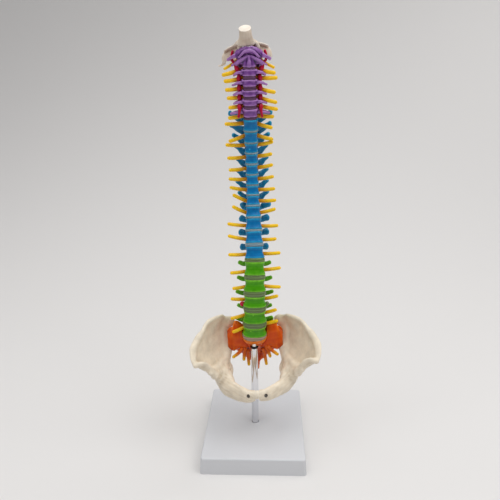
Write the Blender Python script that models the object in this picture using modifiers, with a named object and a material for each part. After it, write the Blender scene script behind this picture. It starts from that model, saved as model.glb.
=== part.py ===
"""Spine anatomy model on a stand, about half life size.

The base stands on z = 0 and the middle plane of the pelvis is x = 0. -Y is the front of the body and +X is its
left side. The rod stands a little to the body's right, and the base is turned a little under the body.
Sizes are in millimetres, and each mesh is scaled to metres once, when its object is made.
"""
import math
from collections import namedtuple

import bmesh
import bpy
from mathutils import Matrix, Vector

MM = 0.001
SHARP_ANGLE = 50.0      # degrees
SEAT_GAP = 0.3          # between two pieces that sit face to face
FACET_GAP = 0.9         # between the joint faces of neighbouring arches
ROD_SIDE = -1.0         # the rod's axis, from the pelvis's middle plane
BASE_TURN = -2.7        # degrees the base is turned about the rod, seen from above
PELVIS_ROLL = 1.3       # degrees the pelvis dips to its right
SKULL_ROLL = 5.0        # degrees the skull piece dips to its right
SKULL_SHIFT = (-2.4, 0.0, 1.2)
SKULL_CUT = (0.0, -8.5, 16.5)
SKULL_CUT_TILT = 38.0   # degrees the stub's cut face looks forward
# Feet of the two knuckles that sit on the atlas, right (-1) and left (1)
SKULL_KNUCKLES = {1: (11.4, 2.4, -0.4), -1: (-6.6, 2.4, 0.75)}

# Base and rod
BASE_WIDTH = 115.0
BASE_DEPTH = 135.3
BASE_HEIGHT = 19.2
BASE_SHIFT = -0.7       # the plate's middle from the rod's axis
BASE_WALL = 2.4
BASE_CORNER = 3.0
BASE_EDGE = 1.6
BASE_DRAFT = 1.2
BASE_RIB = 2.0
BOSS_RADIUS = 9.0
ROD_RADIUS = 4.0
ROD_TOP = 116.5
ROD_SOCKET_DEPTH = 10.0
SCREW_RADIUS = 2.0
SCREW_HEAD_RADIUS = 3.8
SCREW_HEAD_HEIGHT = 2.4
SCREW_GRIP = 8.2        # length of the screw inside the rod
WASHER_RADIUS = 4.6
WASHER_HEIGHT = 1.5
WASHER_ROOM = 0.9       # free space round the washer under the sacrum
STUD_RADIUS = 2.7
STUD_SOCKET = 6.0       # depth of the stud's hole in the rod

# Where the spine starts: the middle of the sacrum's top face
SACRUM_TOP = (-0.4, 1.6, 130.6)
SACRAL_SLOPE = -27.0    # degrees, leaning forward
SACRUM_TOP_WIDTH = 27.0
SACRUM_TOP_DEPTH = 17.0
SACRUM_HALF_WIDTH = 31.6
STUD_TOP = SACRUM_TOP[2] - 5.0

# Body of each vertebra from the lowest up: width, depth, height, disc under it, lean in degrees,
# reach of the transverse processes to each side
Vertebra = namedtuple("Vertebra", "name width depth height disc lean reach")
VERTEBRAE = [
    Vertebra("L5", 27.0, 17.0, 12.4, 4.0, -13.0, 20.2),
    Vertebra("L4", 26.4, 17.0, 13.6, 5.6, -6.0, 18.6),
    Vertebra("L3", 25.6, 16.6, 12.2, 5.4, 0.0, 20.0),
    Vertebra("L2", 24.2, 16.4, 13.2, 5.2, 6.0, 18.4),
    Vertebra("L1", 23.0, 16.0, 14.2, 4.4, 11.0, 17.0),
    Vertebra("T12", 21.4, 15.4, 12.2, 3.8, 15.0, 14.4),
    Vertebra("T11", 19.6, 15.0, 12.0, 3.8, 18.0, 15.4),
    Vertebra("T10", 18.6, 14.4, 11.2, 2.7, 17.0, 15.2),
    Vertebra("T9", 17.0, 14.0, 10.2, 2.4, 15.0, 15.0),
    Vertebra("T8", 15.2, 13.4, 9.0, 2.4, 12.0, 14.8),
    Vertebra("T7", 14.4, 13.0, 8.4, 2.4, 8.0, 15.8),
    Vertebra("T6", 14.0, 13.0, 9.2, 2.2, 3.0, 15.7),
    Vertebra("T5", 13.6, 12.4, 9.0, 2.2, -3.0, 15.9),
    Vertebra("T4", 13.6, 12.0, 9.3, 2.6, -7.0, 15.8),
    Vertebra("T3", 13.8, 11.6, 8.8, 2.1, -10.0, 17.8),
    Vertebra("T2", 14.4, 11.2, 10.2, 2.0, -13.0, 19.6),
    Vertebra("T1", 15.4, 11.0, 10.6, 2.1, -15.0, 20.3),
    Vertebra("C7", 15.8, 10.6, 7.8, 2.7, -14.0, 19.4),
    Vertebra("C6", 15.2, 10.0, 5.6, 3.2, -11.0, 16.4),
    Vertebra("C5", 14.8, 9.6, 5.6, 3.2, -7.0, 16.2),
    Vertebra("C4", 14.6, 9.5, 6.2, 3.5, -3.0, 16.8),
    Vertebra("C3", 14.4, 9.4, 6.0, 3.2, 0.0, 15.4),
    Vertebra("C2", 14.0, 9.4, 8.0, 2.2, 1.0, 17.0),
]
CHEST_TIP_RISE = {"T12": 6.8, "T11": 8.0, "T10": 9.0, "T9": 10.2, "T2": 7.6, "T1": 6.6}
CHEST_TIP_RISE_REST = 8.8
ATLAS_RISE = 11.4       # atlas ring above the middle of C2's body
ATLAS_REACH = 20.4
WAIST = 0.92            # a body's middle against its rims
WAIST_SPAN = 0.45       # share of the height that is narrow

# Canal, cord, nerve exits and bodies of each region. The exit is how far out a nerve is free of the arch, and the
# slack is how far it may be off the exit's middle there. The sway is in degrees to the left, going up. The top is
# the width of a body's upper rim against its lower one.
Region = namedtuple("Region", "canal_half canal_depth cord nerve_rise exit slack sway top colour")
REGIONS = {
    "C": Region(5.4, 7.9, 2.3, 0.6, 8.0, 0.4, -0.6, 0.97, (0.20, 0.08, 0.34, 1)),
    "T": Region(4.4, 7.4, 2.2, 5.5, 7.4, 0.5, -0.9, 0.88, (0.005, 0.13, 0.42, 1)),
    "L": Region(5.6, 8.0, 2.3, 5.0, 9.4, 0.7, 0.9, 0.91, (0.05, 0.33, 0.01, 1)),
}
STRAIGHT_BODIES = ("T1", "T2", "T3", "T4", "L5")
STRAIGHT_TOP = 0.97
DISC_BULGE = 1.06
HERNIA_ABOVE = "L3"     # the disc under this vertebra has the bulge
HERNIA_SPOT = Vector((-12.4, 2.4, 0.4))
HERNIA_RADII = (2.6, 3.4, 2.2)
HERNIA_FACES = 40
CORD_BEHIND_BODY = 0.5
NERVE_START = 0.6       # a stub's root from the middle of the cord
NERVE_RADIUS = 1.45
NERVE_TIP_RADIUS = 1.3
# Tips of the stubs by the vertebra above them, right and left: across from the middle plane, forward of the cord,
# and up from the middle of the disc
NERVE_TIPS = {
    "C2": ((-28.8, 2.6, -5.7), (24.1, 2.6, -4.4)),
    "C3": ((-27.1, 2.6, -2.7), (26.0, 2.6, 0.0)),
    "C4": ((-26.1, 2.6, -1.2), (24.1, 2.6, -4.2)),
    "C5": ((-24.6, 2.6, -0.1), (25.7, 2.6, -5.0)),
    "C6": ((-23.4, 2.6, -0.7), (26.5, 2.6, -2.9)),
    "C7": ((-24.1, 2.6, -0.4), (22.8, 2.6, 0.4)),
    "T1": ((-27.9, 2.6, 6.4), (21.5, 2.6, 1.7)),
    "T2": ((-24.4, 2.6, 0.3), (22.1, 2.6, 1.8)),
    "T3": ((-27.9, 2.6, 7.6), (22.2, 2.6, 10.1)),
    "T4": ((-26.5, 2.6, 5.1), (21.3, 2.6, 9.0)),
    "T5": ((-25.4, 2.6, 3.7), (22.2, 2.6, 8.8)),
    "T6": ((-25.7, 2.6, 5.6), (23.1, 2.6, 7.6)),
    "T7": ((-24.9, 2.6, 7.3), (24.4, 2.6, 5.2)),
    "T8": ((-21.7, 2.6, 11.0), (25.3, 2.6, 4.1)),
    "T9": ((-22.5, 2.6, 11.0), (24.6, 2.6, 7.3)),
    "T10": ((-28.1, 2.6, 5.7), (27.3, 2.6, 2.8)),
    "T11": ((-27.8, 2.6, 8.0), (25.1, 2.6, 3.6)),
    "T12": ((-27.8, 2.6, 3.1), (29.2, 2.6, 4.4)),
    "L1": ((-26.2, 3.4, 1.5), (29.3, 3.4, 6.7)),
    "L2": ((-24.2, 3.4, 1.9), (29.2, 3.4, 2.9)),
    "L3": ((-26.3, 3.4, 7.4), (26.4, 3.4, 10.3)),
    "L4": ((-27.3, 3.4, 1.8), (24.8, 3.4, 12.2)),
    "L5": ((-25.5, 9.0, 3.1), (26.3, 3.4, 14.0)),
}
FIRST_NERVE = ((0.6, 9.4, -5.2), (9.0, 9.6, -6.6), (16.5, 8.6, -11.6), (25.0, 6.6, -16.2))
ARTERY_RADIUS = 0.75
ARTERY_HOLE = 2.1
ARTERY_SIDE = 10.4      # the holes' distance from the middle plane
ARTERY_BACK = 3.4       # the holes behind the middle of a body
AXIS_ARTERY_SIDE = 13.8
ATLAS_ARTERY_SIDE = 16.3

# Pelvis
PUBIC_GAP = 3.2         # width of the disc between the pubic bones
PUBIC_SCREW_RADIUS = 0.9
PUBIC_SCREW_HEAD = 1.7
PUBIC_SCREW_HEAD_HEIGHT = 1.2
PUBIC_SCREW_LENGTH = 5.0
PUBIC_SCREW_FACE = (9.4, -42.2, 81.4)
PUBIC_SCREW_AXIS = (0.25, -0.8, 0.55)
HIP_GAP = 0.4           # between the hip bone and the sacrum
HIP_CENTRE = (42.0, -11.0, 91.0)
SOCKET_AXIS = (0.86, -0.42, -0.30)
SOCKET_RADIUS = 10.0
SOCKET_OUT = 13.0       # middle of the socket's ball from the hip's centre
WING_THICKNESS = 3.8
WING_HOLLOW = Vector((2.8, 2.8, -2.2))
WING_STEPS = 6
# Iliac crest from the back to the front corner, and the brim where the wing bends into the pelvis
CREST = [(33.5, 25, 137), (35, 20, 145), (37.5, 14, 149.0), (45, 7, 149.2), (53, 0, 147.2), (58, -8, 142.8),
         (62.6, -15, 138), (66.0, -22, 133.2), (67.2, -28, 128.0), (66.8, -34, 122.8), (64.8, -38, 118.8)]
BRIM = [(34, 26, 132), (34.4, 22, 126), (34.6, 17, 119), (34.8, 12, 112), (35.2, 6, 106), (36, 0, 101.5),
        (37, -6, 98.5), (39, -13, 96), (42, -19, 96.5), (46, -24, 99), (50, -29, 104)]

# Root and end of each strip of sacral nerve, on the left
SACRAL_NERVES = (((6.4, 15.4, 107.0), (26.4, 5.0, 100.0)),
                 ((5.4, 17.6, 103.0), (13.4, 8.0, 93.0)),
                 ((4.6, 19.6, 98.0), (8.0, 11.0, 87.6)))

# Fineness of the moulded bones
VERTEBRA_GRAIN = 0.5
PELVIS_GRAIN = 1.0
SKULL_GRAIN = 0.7
AXIS_FACES = 220
ARTERY_LEVELS = ("C2", "C3", "C4", "C5", "C6")
ARCH_FACES = {"C": 150, "T": 104, "L": 124}
BODY_SIDES = {"C": 10, "T": 10, "L": 12}
HIP_FACES = 460
SACRUM_FACES = 406
SKULL_FACES = 216
ATLAS_FACES = 244

WHITE_ABS = (0.62, 0.63, 0.65, 1)
CHROME = (0.55, 0.56, 0.58, 1)
BLACK = (0.02, 0.02, 0.02, 1)
STEEL = (0.35, 0.35, 0.36, 1)
BONE = (0.66, 0.57, 0.46, 1)
ORANGE = (0.60, 0.09, 0.005, 1)
DISC_GREY = (0.28, 0.27, 0.25, 1)
NERVE_YELLOW = (0.80, 0.42, 0.01, 1)
ARTERY_RED = (0.30, 0.0, 0.02, 1)


def clear_scene():
    for item in list(bpy.data.objects):
        bpy.data.objects.remove(item, do_unlink=True)


def new_collection(name):
    group = bpy.data.collections.new(name)
    bpy.context.scene.collection.children.link(group)
    return group


def material(name, colour, roughness, metallic=0.0):
    finish = bpy.data.materials.new(name)
    finish.use_nodes = True
    shader = finish.node_tree.nodes["Principled BSDF"]
    shader.inputs["Base Color"].default_value = colour
    shader.inputs["Roughness"].default_value = roughness
    shader.inputs["Metallic"].default_value = metallic
    finish.diffuse_color = colour
    return finish


def loft(bm, rings):
    """Closed solid through rings of as many points each, with a flat face at each end."""
    rows = [[bm.verts.new(point) for point in ring] for ring in rings]
    count = len(rows[0])
    for low, high in zip(rows, rows[1:]):
        for k in range(count):
            after = (k + 1) % count
            bm.faces.new((low[k], low[after], high[after], high[k]))
    bm.faces.new(list(reversed(rows[0])))
    bm.faces.new(rows[-1])


def limb(bm, points, radii, across=(1, 0, 0), sides=8):
    """Tapered bar of oval section along points. A radius is (across, other way)."""
    points = [Vector(p) for p in points]
    rings = []
    for i, point in enumerate(points):
        before = points[max(i - 1, 0)]
        after = points[min(i + 1, len(points) - 1)]
        along = (after - before).normalized()
        side = Vector(across)
        side = (side - along * side.dot(along)).normalized()
        up = along.cross(side)
        wide, thick = radii[i]
        angles = [2 * math.pi * k / sides for k in range(sides)]
        rings.append([point + side * wide * math.cos(a) + up * thick * math.sin(a) for a in angles])
    loft(bm, rings)


def blob(bm, centre, radii):
    """Rounded lump with three half-sizes."""
    place = Matrix.Translation(centre) @ Matrix.Diagonal((*radii, 1))
    bmesh.ops.create_icosphere(bm, subdivisions=2, radius=1.0, matrix=place)


def mesh_of(bm, name="shape"):
    bmesh.ops.recalc_face_normals(bm, faces=bm.faces)
    mesh = bpy.data.meshes.new(name)
    bm.to_mesh(mesh)
    bm.free()
    return mesh


def with_modifiers(mesh, *settings):
    """Applies modifiers, each given as (type, values), and returns the new mesh."""
    holder = bpy.data.objects.new("holder", mesh)
    bpy.context.scene.collection.objects.link(holder)
    for kind, values in settings:
        modifier = holder.modifiers.new(kind.lower(), kind)
        for key, value in values.items():
            setattr(modifier, key, value)
    graph = bpy.context.evaluated_depsgraph_get()
    result = bpy.data.meshes.new_from_object(holder.evaluated_get(graph))
    bpy.data.objects.remove(holder, do_unlink=True)
    return result


def moulded(bm, grain, faces, smooth=3, cuts=()):
    """Fuses overlapping shapes into one soft skin, cuts it and thins it to about so many triangles."""
    skin = with_modifiers(mesh_of(bm), ("REMESH", {"mode": "VOXEL", "voxel_size": grain}))
    skin = with_modifiers(skin, ("SMOOTH", {"iterations": smooth, "factor": 0.5}))
    for cut in cuts:
        skin = combine(skin, cut, "DIFFERENCE")
    triangles = sum(len(face.vertices) - 2 for face in skin.polygons)
    return with_modifiers(skin, ("DECIMATE", {"ratio": min(1.0, faces / triangles)}))


def combine(first, second, operation):
    """Exact Boolean of two meshes."""
    tool = bpy.data.objects.new("tool", second)
    bpy.context.scene.collection.objects.link(tool)
    result = with_modifiers(first, ("BOOLEAN", {"operation": operation, "solver": "EXACT", "object": tool}))
    bpy.data.objects.remove(tool, do_unlink=True)
    return result


def tidy(mesh):
    """Merges doubled points and makes triangles, so that every reader sees the same faces."""
    bm = bmesh.new()
    bm.from_mesh(mesh)
    bmesh.ops.remove_doubles(bm, verts=bm.verts, dist=0.01)
    bmesh.ops.dissolve_degenerate(bm, edges=bm.edges, dist=0.005)
    bmesh.ops.triangulate(bm, faces=bm.faces)
    bm.to_mesh(mesh)
    bm.free()
    return mesh


def add_part(name, mesh, finish, place=None):
    """Names the object, scales its mesh from millimetres and stands it in its place."""
    mesh.transform(Matrix.Scale(MM, 4))
    mesh.materials.clear()
    mesh.materials.append(finish)
    mesh.shade_smooth()
    mesh.set_sharp_from_angle(angle=math.radians(SHARP_ANGLE))
    part = bpy.data.objects.new(name, mesh)
    parts.objects.link(part)
    place = (place or Matrix()).copy()
    place.translation = place.translation * MM
    part.matrix_world = place


def cylinder(radius, low, high, sides, place=Matrix()):
    bm = bmesh.new()
    middle = Matrix.Translation((0, 0, (low + high) / 2))
    bmesh.ops.create_cone(bm, cap_ends=True, segments=sides, radius1=radius, radius2=radius, depth=high - low,
                          matrix=place @ middle)
    return mesh_of(bm)


def box(low, high):
    low, high = Vector(low), Vector(high)
    bm = bmesh.new()
    place = Matrix.Translation((low + high) / 2) @ Matrix.Diagonal((*(high - low), 1))
    bmesh.ops.create_cube(bm, size=1.0, matrix=place)
    return mesh_of(bm)


def oval(width, depth, sides):
    """Outline of a vertebral body seen from above, with its flat, slightly hollow back towards +Y."""
    points = []
    for k in range(sides):
        a = 2 * math.pi * (k + 0.5) / sides
        x = width / 2 * math.copysign(abs(math.sin(a)) ** 0.85, math.sin(a))
        y = -depth / 2 * math.copysign(abs(math.cos(a)) ** 0.85, math.cos(a))
        if y > 0:
            y -= 0.09 * depth * math.exp(-(x / (0.3 * width)) ** 2)
        points.append((x, y))
    return points


def top_share(vertebra):
    """Width of a body's upper rim against its lower one."""
    return STRAIGHT_TOP if vertebra.name in STRAIGHT_BODIES else REGIONS[vertebra.name[0]].top


def body_rings(vertebra, sides):
    """A body's outlines from its lower endplate to its upper one, narrow at the waist."""
    rings = []
    for level, share in ((-1, 1.0), (-WAIST_SPAN, WAIST), (WAIST_SPAN, WAIST), (1, 1.0)):
        wide = share * (1 + (top_share(vertebra) - 1) * (level + 1) / 2)
        z = level * vertebra.height / 2
        outline = oval(vertebra.width, vertebra.depth, sides)
        rings.append([Vector((x * wide, y * share, z)) for x, y in outline])
    return rings


def sacrum_top():
    return Matrix.Translation(SACRUM_TOP) @ Matrix.Rotation(math.radians(-SACRAL_SLOPE), 4, "X")


def pelvis_place():
    """Turn of the pelvis about the middle of the sacrum's top."""
    middle = Matrix.Translation((0, 0, SACRUM_TOP[2]))
    return middle @ Matrix.Rotation(math.radians(-PELVIS_ROLL), 4, "Y") @ middle.inverted()


def stack():
    """Places each body on the disc under it, and returns name to matrix, from L5 up to C2."""
    places = {}
    top = pelvis_place() @ sacrum_top()
    for vertebra in VERTEBRAE:
        sway = REGIONS[vertebra.name[0]].sway
        lean = Matrix.Rotation(math.radians(sway), 4, "Y") @ Matrix.Rotation(math.radians(-vertebra.lean), 4, "X")
        between = (top.to_3x3().col[2] + lean.to_3x3().col[2]).normalized()
        seat = top.translation + between * vertebra.disc
        place = Matrix.Translation(seat) @ lean @ Matrix.Translation((0, 0, vertebra.height / 2))
        places[vertebra.name] = place
        top = place @ Matrix.Translation((0, 0, vertebra.height / 2))
    return places


def disc_planes(places):
    """Middle of each disc: name of the vertebra above it to (point, normal)."""
    planes = {}
    low_top = (pelvis_place() @ sacrum_top()).translation
    low_up = (pelvis_place() @ sacrum_top()).to_3x3().col[2]
    for vertebra in VERTEBRAE:
        place = places[vertebra.name]
        up = place.to_3x3() @ Vector((0, 0, 1))
        bottom = place @ Vector((0, 0, -vertebra.height / 2))
        planes[vertebra.name] = ((low_top + bottom) / 2, (low_up + up).normalized())
        low_top = place @ Vector((0, 0, vertebra.height / 2))
        low_up = up
    return planes


def height_at(place, plane, x, y):
    """Local height at which a vertical line through local (x, y) meets a disc's middle plane."""
    inverse = place.inverted()
    point = inverse @ plane[0]
    normal = inverse.to_3x3() @ plane[1]
    return point.z - (normal.x * (x - point.x) + normal.y * (y - point.y)) / normal.z


def neck_arch(bm, vertebra, up, down):
    """Cervical arch: short forked wings with a hole for the artery, and stacked joint pillars."""
    region = REGIONS["C"]
    back = vertebra.depth / 2 + region.canal_depth
    pillar_y = back - 2.6
    for side in (1, -1):
        root = (side * 5.6, 2.4, 0)
        pillar = (side * 8.6, pillar_y, 0)
        limb(bm, [root, (side * 7.6, 4.6, 0.2), pillar], [(1.6, 1.9)] * 3)
        limb(bm, [(side * 5.4, 0.6, -0.4), (side * 10.0, 1.0, -0.6), (side * vertebra.reach, 3.4, -1.4)],
             [(1.5, 1.5), (1.3, 1.4), (1.2, 1.4)], across=(0, 1, 0))
        limb(bm, [pillar, (side * 12.0, 6.4, -0.4), (side * vertebra.reach, 3.8, -1.4)],
             [(1.8, 1.8), (1.5, 1.5), (1.2, 1.4)], across=(0, 1, 0))
        limb(bm, [(side * 7.4, 3.6, -0.4), (side * 12.6, 3.6, -0.8)], [(1.8, 1.1)] * 2, across=(0, 1, 0))
        high = up(side * 8.6, pillar_y) - FACET_GAP / 2
        low = down(side * 8.6, pillar_y) + FACET_GAP / 2
        limb(bm, [(side * 8.6, pillar_y, low), (side * 8.6, pillar_y, high)], [(2.2, 2.0)] * 2)
        limb(bm, [pillar, (side * 5.6, back + 0.6, -0.6), (0, back + 2.6, -1.2)],
             [(1.3, 2.4), (1.3, 2.4), (1.6, 2.2)], across=(0, 1, 0))
    reach = 21.0 if vertebra.name == "C7" else 15.6
    limb(bm, [(0, back + 1.6, -1.0), (0, reach, -2.6), (0, reach + 3.4, -4.2)],
         [(1.5, 2.0), (1.3, 1.6), (1.8, 1.3)])


def chest_arch(bm, vertebra, up, down):
    """Thoracic arch: wings that sweep up and back, upright joint faces and a long sloping spine."""
    region = REGIONS["T"]
    front = vertebra.depth / 2
    back = front + region.canal_depth
    side_x = region.canal_half + 1.5
    low_chest = vertebra.name in ("T11", "T12")
    for side in (1, -1):
        rise = vertebra.height / 2 - (2.6 if vertebra.name == "T1" else 0.8)
        pedicle = (side * (side_x - 1.2), front - 4.6, rise - 0.4)
        corner = (side * side_x, back - 2.2, rise)
        limb(bm, [pedicle, (side * side_x, front + 0.4, rise), corner], [(1.5, 1.6)] * 3)
        tip_rise = CHEST_TIP_RISE.get(vertebra.name, CHEST_TIP_RISE_REST)
        tip = (side * vertebra.reach, back + 2.6, tip_rise)
        limb(bm, [corner, (side * (side_x + vertebra.reach) / 2, back + 0.8, (rise + tip_rise) / 2), tip],
             [(1.7, 2.0), (1.6, 1.8), (1.9, 2.1)], across=(0, 1, 0))
        blob(bm, tip, (2.5, 2.0, 2.6))
        high = up(side * side_x, back - 2.4) + (0.7 if vertebra.name != "T1" else -FACET_GAP / 2)
        limb(bm, [corner, (side * side_x, back - 2.6, high)], [(1.7, 1.2), (1.6, 1.0)])
        low = down(side * side_x, back)
        limb(bm, [(side * (side_x - 0.4), back + 0.4, 0.6), (side * (side_x - 0.4), back + 0.9, low - 1.2)],
             [(1.7, 1.3), (1.6, 1.0)])
        limb(bm, [corner, (side * 3.4, back + 0.8, 0), (0, back + 2.4, -0.8)],
             [(1.3, 2.8), (1.2, 3.2), (1.4, 2.8)], across=(0, 1, 0))
    long_back, drop = (10.0, -3.5) if low_chest else (12.0, -9.0)
    limb(bm, [(0, back + 1.4, -0.4), (0, back + long_back / 2, drop * 0.55), (0, back + long_back, drop)],
         [(1.5, 2.8), (1.2, 2.0), (1.3, 1.6)])


def loin_arch(bm, vertebra, up, down):
    """Lumbar arch: broad pedicles, flat wings, joint faces side by side and a hatchet-shaped spine."""
    region = REGIONS["L"]
    front = vertebra.depth / 2
    back = front + region.canal_depth
    side_x = region.canal_half + 1.9
    for side in (1, -1):
        rise = vertebra.height / 2 - 3.4
        pedicle = (side * (side_x - 0.8), front - 5.0, rise)
        corner = (side * side_x, back - 3.0, rise)
        limb(bm, [pedicle, (side * side_x, front + 0.4, rise), corner], [(1.9, 2.6)] * 3)
        tip = (side * vertebra.reach, back - 1.6, 4.4)
        limb(bm, [corner, (side * (side_x + vertebra.reach) / 2, back - 2.2, 3.2), tip],
             [(1.5, 2.6), (1.3, 2.2), (1.1, 1.9)], across=(0, 1, 0))
        blob(bm, tip, (1.8, 1.4, 2.2))
        outer_x = side_x + 1.4
        high = up(side * outer_x, back - 1.4)
        limb(bm, [corner, (side * outer_x, back - 1.8, high - 0.5), (side * outer_x, back - 1.4, high + 2.4)],
             [(2.0, 1.9), (1.7, 1.9), (1.4, 1.7)])
        inner_x = outer_x - 4.0
        low = down(side * inner_x, back)
        limb(bm, [(side * (inner_x + 0.2), back + 1.2, 0), (side * inner_x, back + 0.2, low + 0.5),
                  (side * inner_x, back - 0.4, low - 2.4)],
             [(1.6, 1.7), (1.5, 1.8), (1.3, 1.5)])
        limb(bm, [corner, (side * 4.6, back + 0.4, 0), (0, back + 2.8, -1.0)],
             [(1.5, 3.2), (1.5, 3.6), (1.6, 3.4)], across=(0, 1, 0))
    limb(bm, [(0, back + 1.6, -1.0), (0, back + 5.6, -1.8), (0, back + 9.4, -2.2)],
         [(1.4, 3.0), (1.2, 3.6), (1.5, 3.8)])


def axis_extras(bm, vertebra):
    """C2's tooth and the sloping shoulders that the atlas turns on."""
    half = vertebra.height / 2
    limb(bm, [(0, 0, 0), (0, -0.4, half + 2.0), (0, -0.2, half + 8.0), (0, 0.2, half + 10.4)],
         [(3.2, 2.9), (2.3, 2.2), (2.3, 2.2), (1.4, 1.4)])
    limb(bm, [(-12.6, 2.6, -1.2), (-7.0, 0.6, 1.8), (0, -0.8, 4.2), (7.0, 0.6, 1.8), (12.6, 2.6, -1.2)],
         [(2.8, 2.0), (3.6, 2.4), (3.8, 2.6), (3.6, 2.4), (2.8, 2.0)], across=(0, 1, 0))
    for side in (1, -1):
        blob(bm, (side * 7.4, 3.0, 1.2), (3.6, 3.6, 2.6))


ARCHES = {"C": neck_arch, "T": chest_arch, "L": loin_arch}


def fused_disc_ring(vertebra, above, place, place_above):
    """Upper outline, in this vertebra's own frame, of the thin disc that is one with a thoracic body."""
    low_of_above = place_above @ Matrix.Translation((0, 0, -above.height / 2 - SEAT_GAP))
    turn = place.inverted() @ low_of_above
    return [turn @ Vector((x, y, 0)) for x, y in oval(above.width, above.depth, BODY_SIDES["T"])]


def vertebra_mesh(vertebra, places, planes, above):
    """Body with flat endplates, joined to its moulded arch."""
    kind = vertebra.name[0]
    place = places[vertebra.name]

    def down(x, y):
        return height_at(place, planes[vertebra.name], x, y)

    def up(x, y):
        if above is None:
            return vertebra.height / 2 - 2.0
        return height_at(place, planes[above.name], x, y)

    arch = bmesh.new()
    ARCHES[kind](arch, vertebra, up, down)
    if vertebra.name == "C2":
        axis_extras(arch, vertebra)
    cuts = []
    if vertebra.name in ARTERY_LEVELS:
        out = AXIS_ARTERY_SIDE if vertebra.name == "C2" else ARTERY_SIDE
        cuts = [cylinder(ARTERY_HOLE, -8, 8, 12, Matrix.Translation((side * out, ARTERY_BACK, 0)))
                for side in (1, -1)]
    faces = AXIS_FACES if vertebra.name == "C2" else ARCH_FACES[kind]
    arch = moulded(arch, VERTEBRA_GRAIN, faces, 2, cuts)
    rings = body_rings(vertebra, BODY_SIDES[kind])
    if above is not None and above.name[0] == "T" and kind == "T":
        rings.append(fused_disc_ring(vertebra, above, place, places[above.name]))
    body = bmesh.new()
    loft(body, rings)
    return tidy(combine(mesh_of(body), arch, "UNION"))


def atlas_mesh():
    """Ring of the atlas, about its own middle: arches before and behind, side masses and wings."""
    bm = bmesh.new()
    limb(bm, [(-10.4, 1.4, -3.4), (-5.8, -3.4, -1.2), (0, -5.2, -0.5), (5.8, -3.4, -1.2), (10.4, 1.4, -3.4)],
         [(1.6, 4.2), (1.5, 3.8), (1.6, 3.7), (1.5, 3.8), (1.6, 4.2)], across=(0, 1, 0))
    limb(bm, [(-8.8, 5.0, -1.0), (-8.6, 10.0, 0.0), (-4.6, 14.8, 0.4), (0, 16.2, 0.4),
              (4.6, 14.8, 0.4), (8.6, 10.0, 0.0), (8.8, 5.0, -1.0)],
         [(1.3, 1.7)] * 7, across=(0, 0.6, 1))
    for side in (1, -1):
        blob(bm, (side * 10.0, 3.0, -3.4), (3.8, 4.4, 5.0))
        tip = (side * ATLAS_REACH, 3.2, -8.0)
        limb(bm, [(side * 10.0, 1.2, -3.6), (side * 15.8, 0.2, -5.6), tip],
             [(1.2, 2.2), (1.1, 1.9), (1.4, 1.8)], across=(0, 1, 0))
        limb(bm, [(side * 10.0, 6.4, -2.6), (side * 15.8, 7.4, -5.2), tip],
             [(1.3, 1.8), (1.1, 1.6), (1.4, 1.8)], across=(0, 1, 0))
        blob(bm, tip, (1.6, 1.6, 2.0))
    return tidy(moulded(bm, VERTEBRA_GRAIN, ATLAS_FACES, 2))


def atlas_place(places):
    return places["C2"] @ Matrix.Translation((0, 0, ATLAS_RISE))


def skull_mesh():
    """Skull piece about the atlas's middle: a stub in front, a shield behind and a hole between."""
    bm = bmesh.new()
    limb(bm, [(0, -2.6, 4.8), (0, -4.2, 8.6), (0, -6.8, 13.2), (0, -8.6, 22.0)],
         [(9.4, 3.2), (7.6, 4.2), (6.2, 5.4), (6.1, 5.6)])
    for side in (1, -1):
        knuckle = SKULL_KNUCKLES[side]
        limb(bm, [(knuckle[0] - side, knuckle[1] - 0.4, 6.0), knuckle], [(3.0, 3.8), (2.4, 3.0)])
        limb(bm, [(side * 4.0, -1.0, 6.4), (side * 10.0, 3.6, 5.4), (side * 12.0, 12.0, 4.0), (side * 7.0, 21.0, 2.2),
                  (0, 24.0, 1.4)],
             [(2.2, 1.6), (2.4, 1.5), (2.6, 1.4), (2.6, 1.4), (2.6, 1.4)], across=(1, -0.4, 0))
        limb(bm, [(side * 8.0, 1.6, 5.6), (side * 14.0, 4.0, 3.6), (side * 20.4, 7.0, 0.4)],
             [(3.0, 1.5), (3.4, 1.3), (3.0, 1.2)], across=(0, 1, -0.5))
        limb(bm, [(side * 11.0, 7.6, 4.0), (side * 17.6, 11.0, 0.8), (side * 21.6, 13.4, -3.6),
                  (side * 26.6, 14.8, -11.0)],
             [(5.0, 1.3), (6.0, 1.2), (4.6, 1.2), (1.8, 1.0)], across=(0, 1, -0.4))
        limb(bm, [(side * 18.0, 14.0, -1.0), (side * 13.0, 22.0, -3.4), (0, 26.0, -5.0)],
             [(6.0, 1.2), (7.0, 1.2), (8.0, 1.3)], across=(0, 0.5, 1))
    slab = box((-20, -20, 0), (20, 30, 20))
    slab.transform(Matrix.Translation(SKULL_CUT) @ Matrix.Rotation(math.radians(SKULL_CUT_TILT), 4, "X"))
    return tidy(combine(moulded(bm, SKULL_GRAIN, SKULL_FACES, 2), slab, "DIFFERENCE"))


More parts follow.
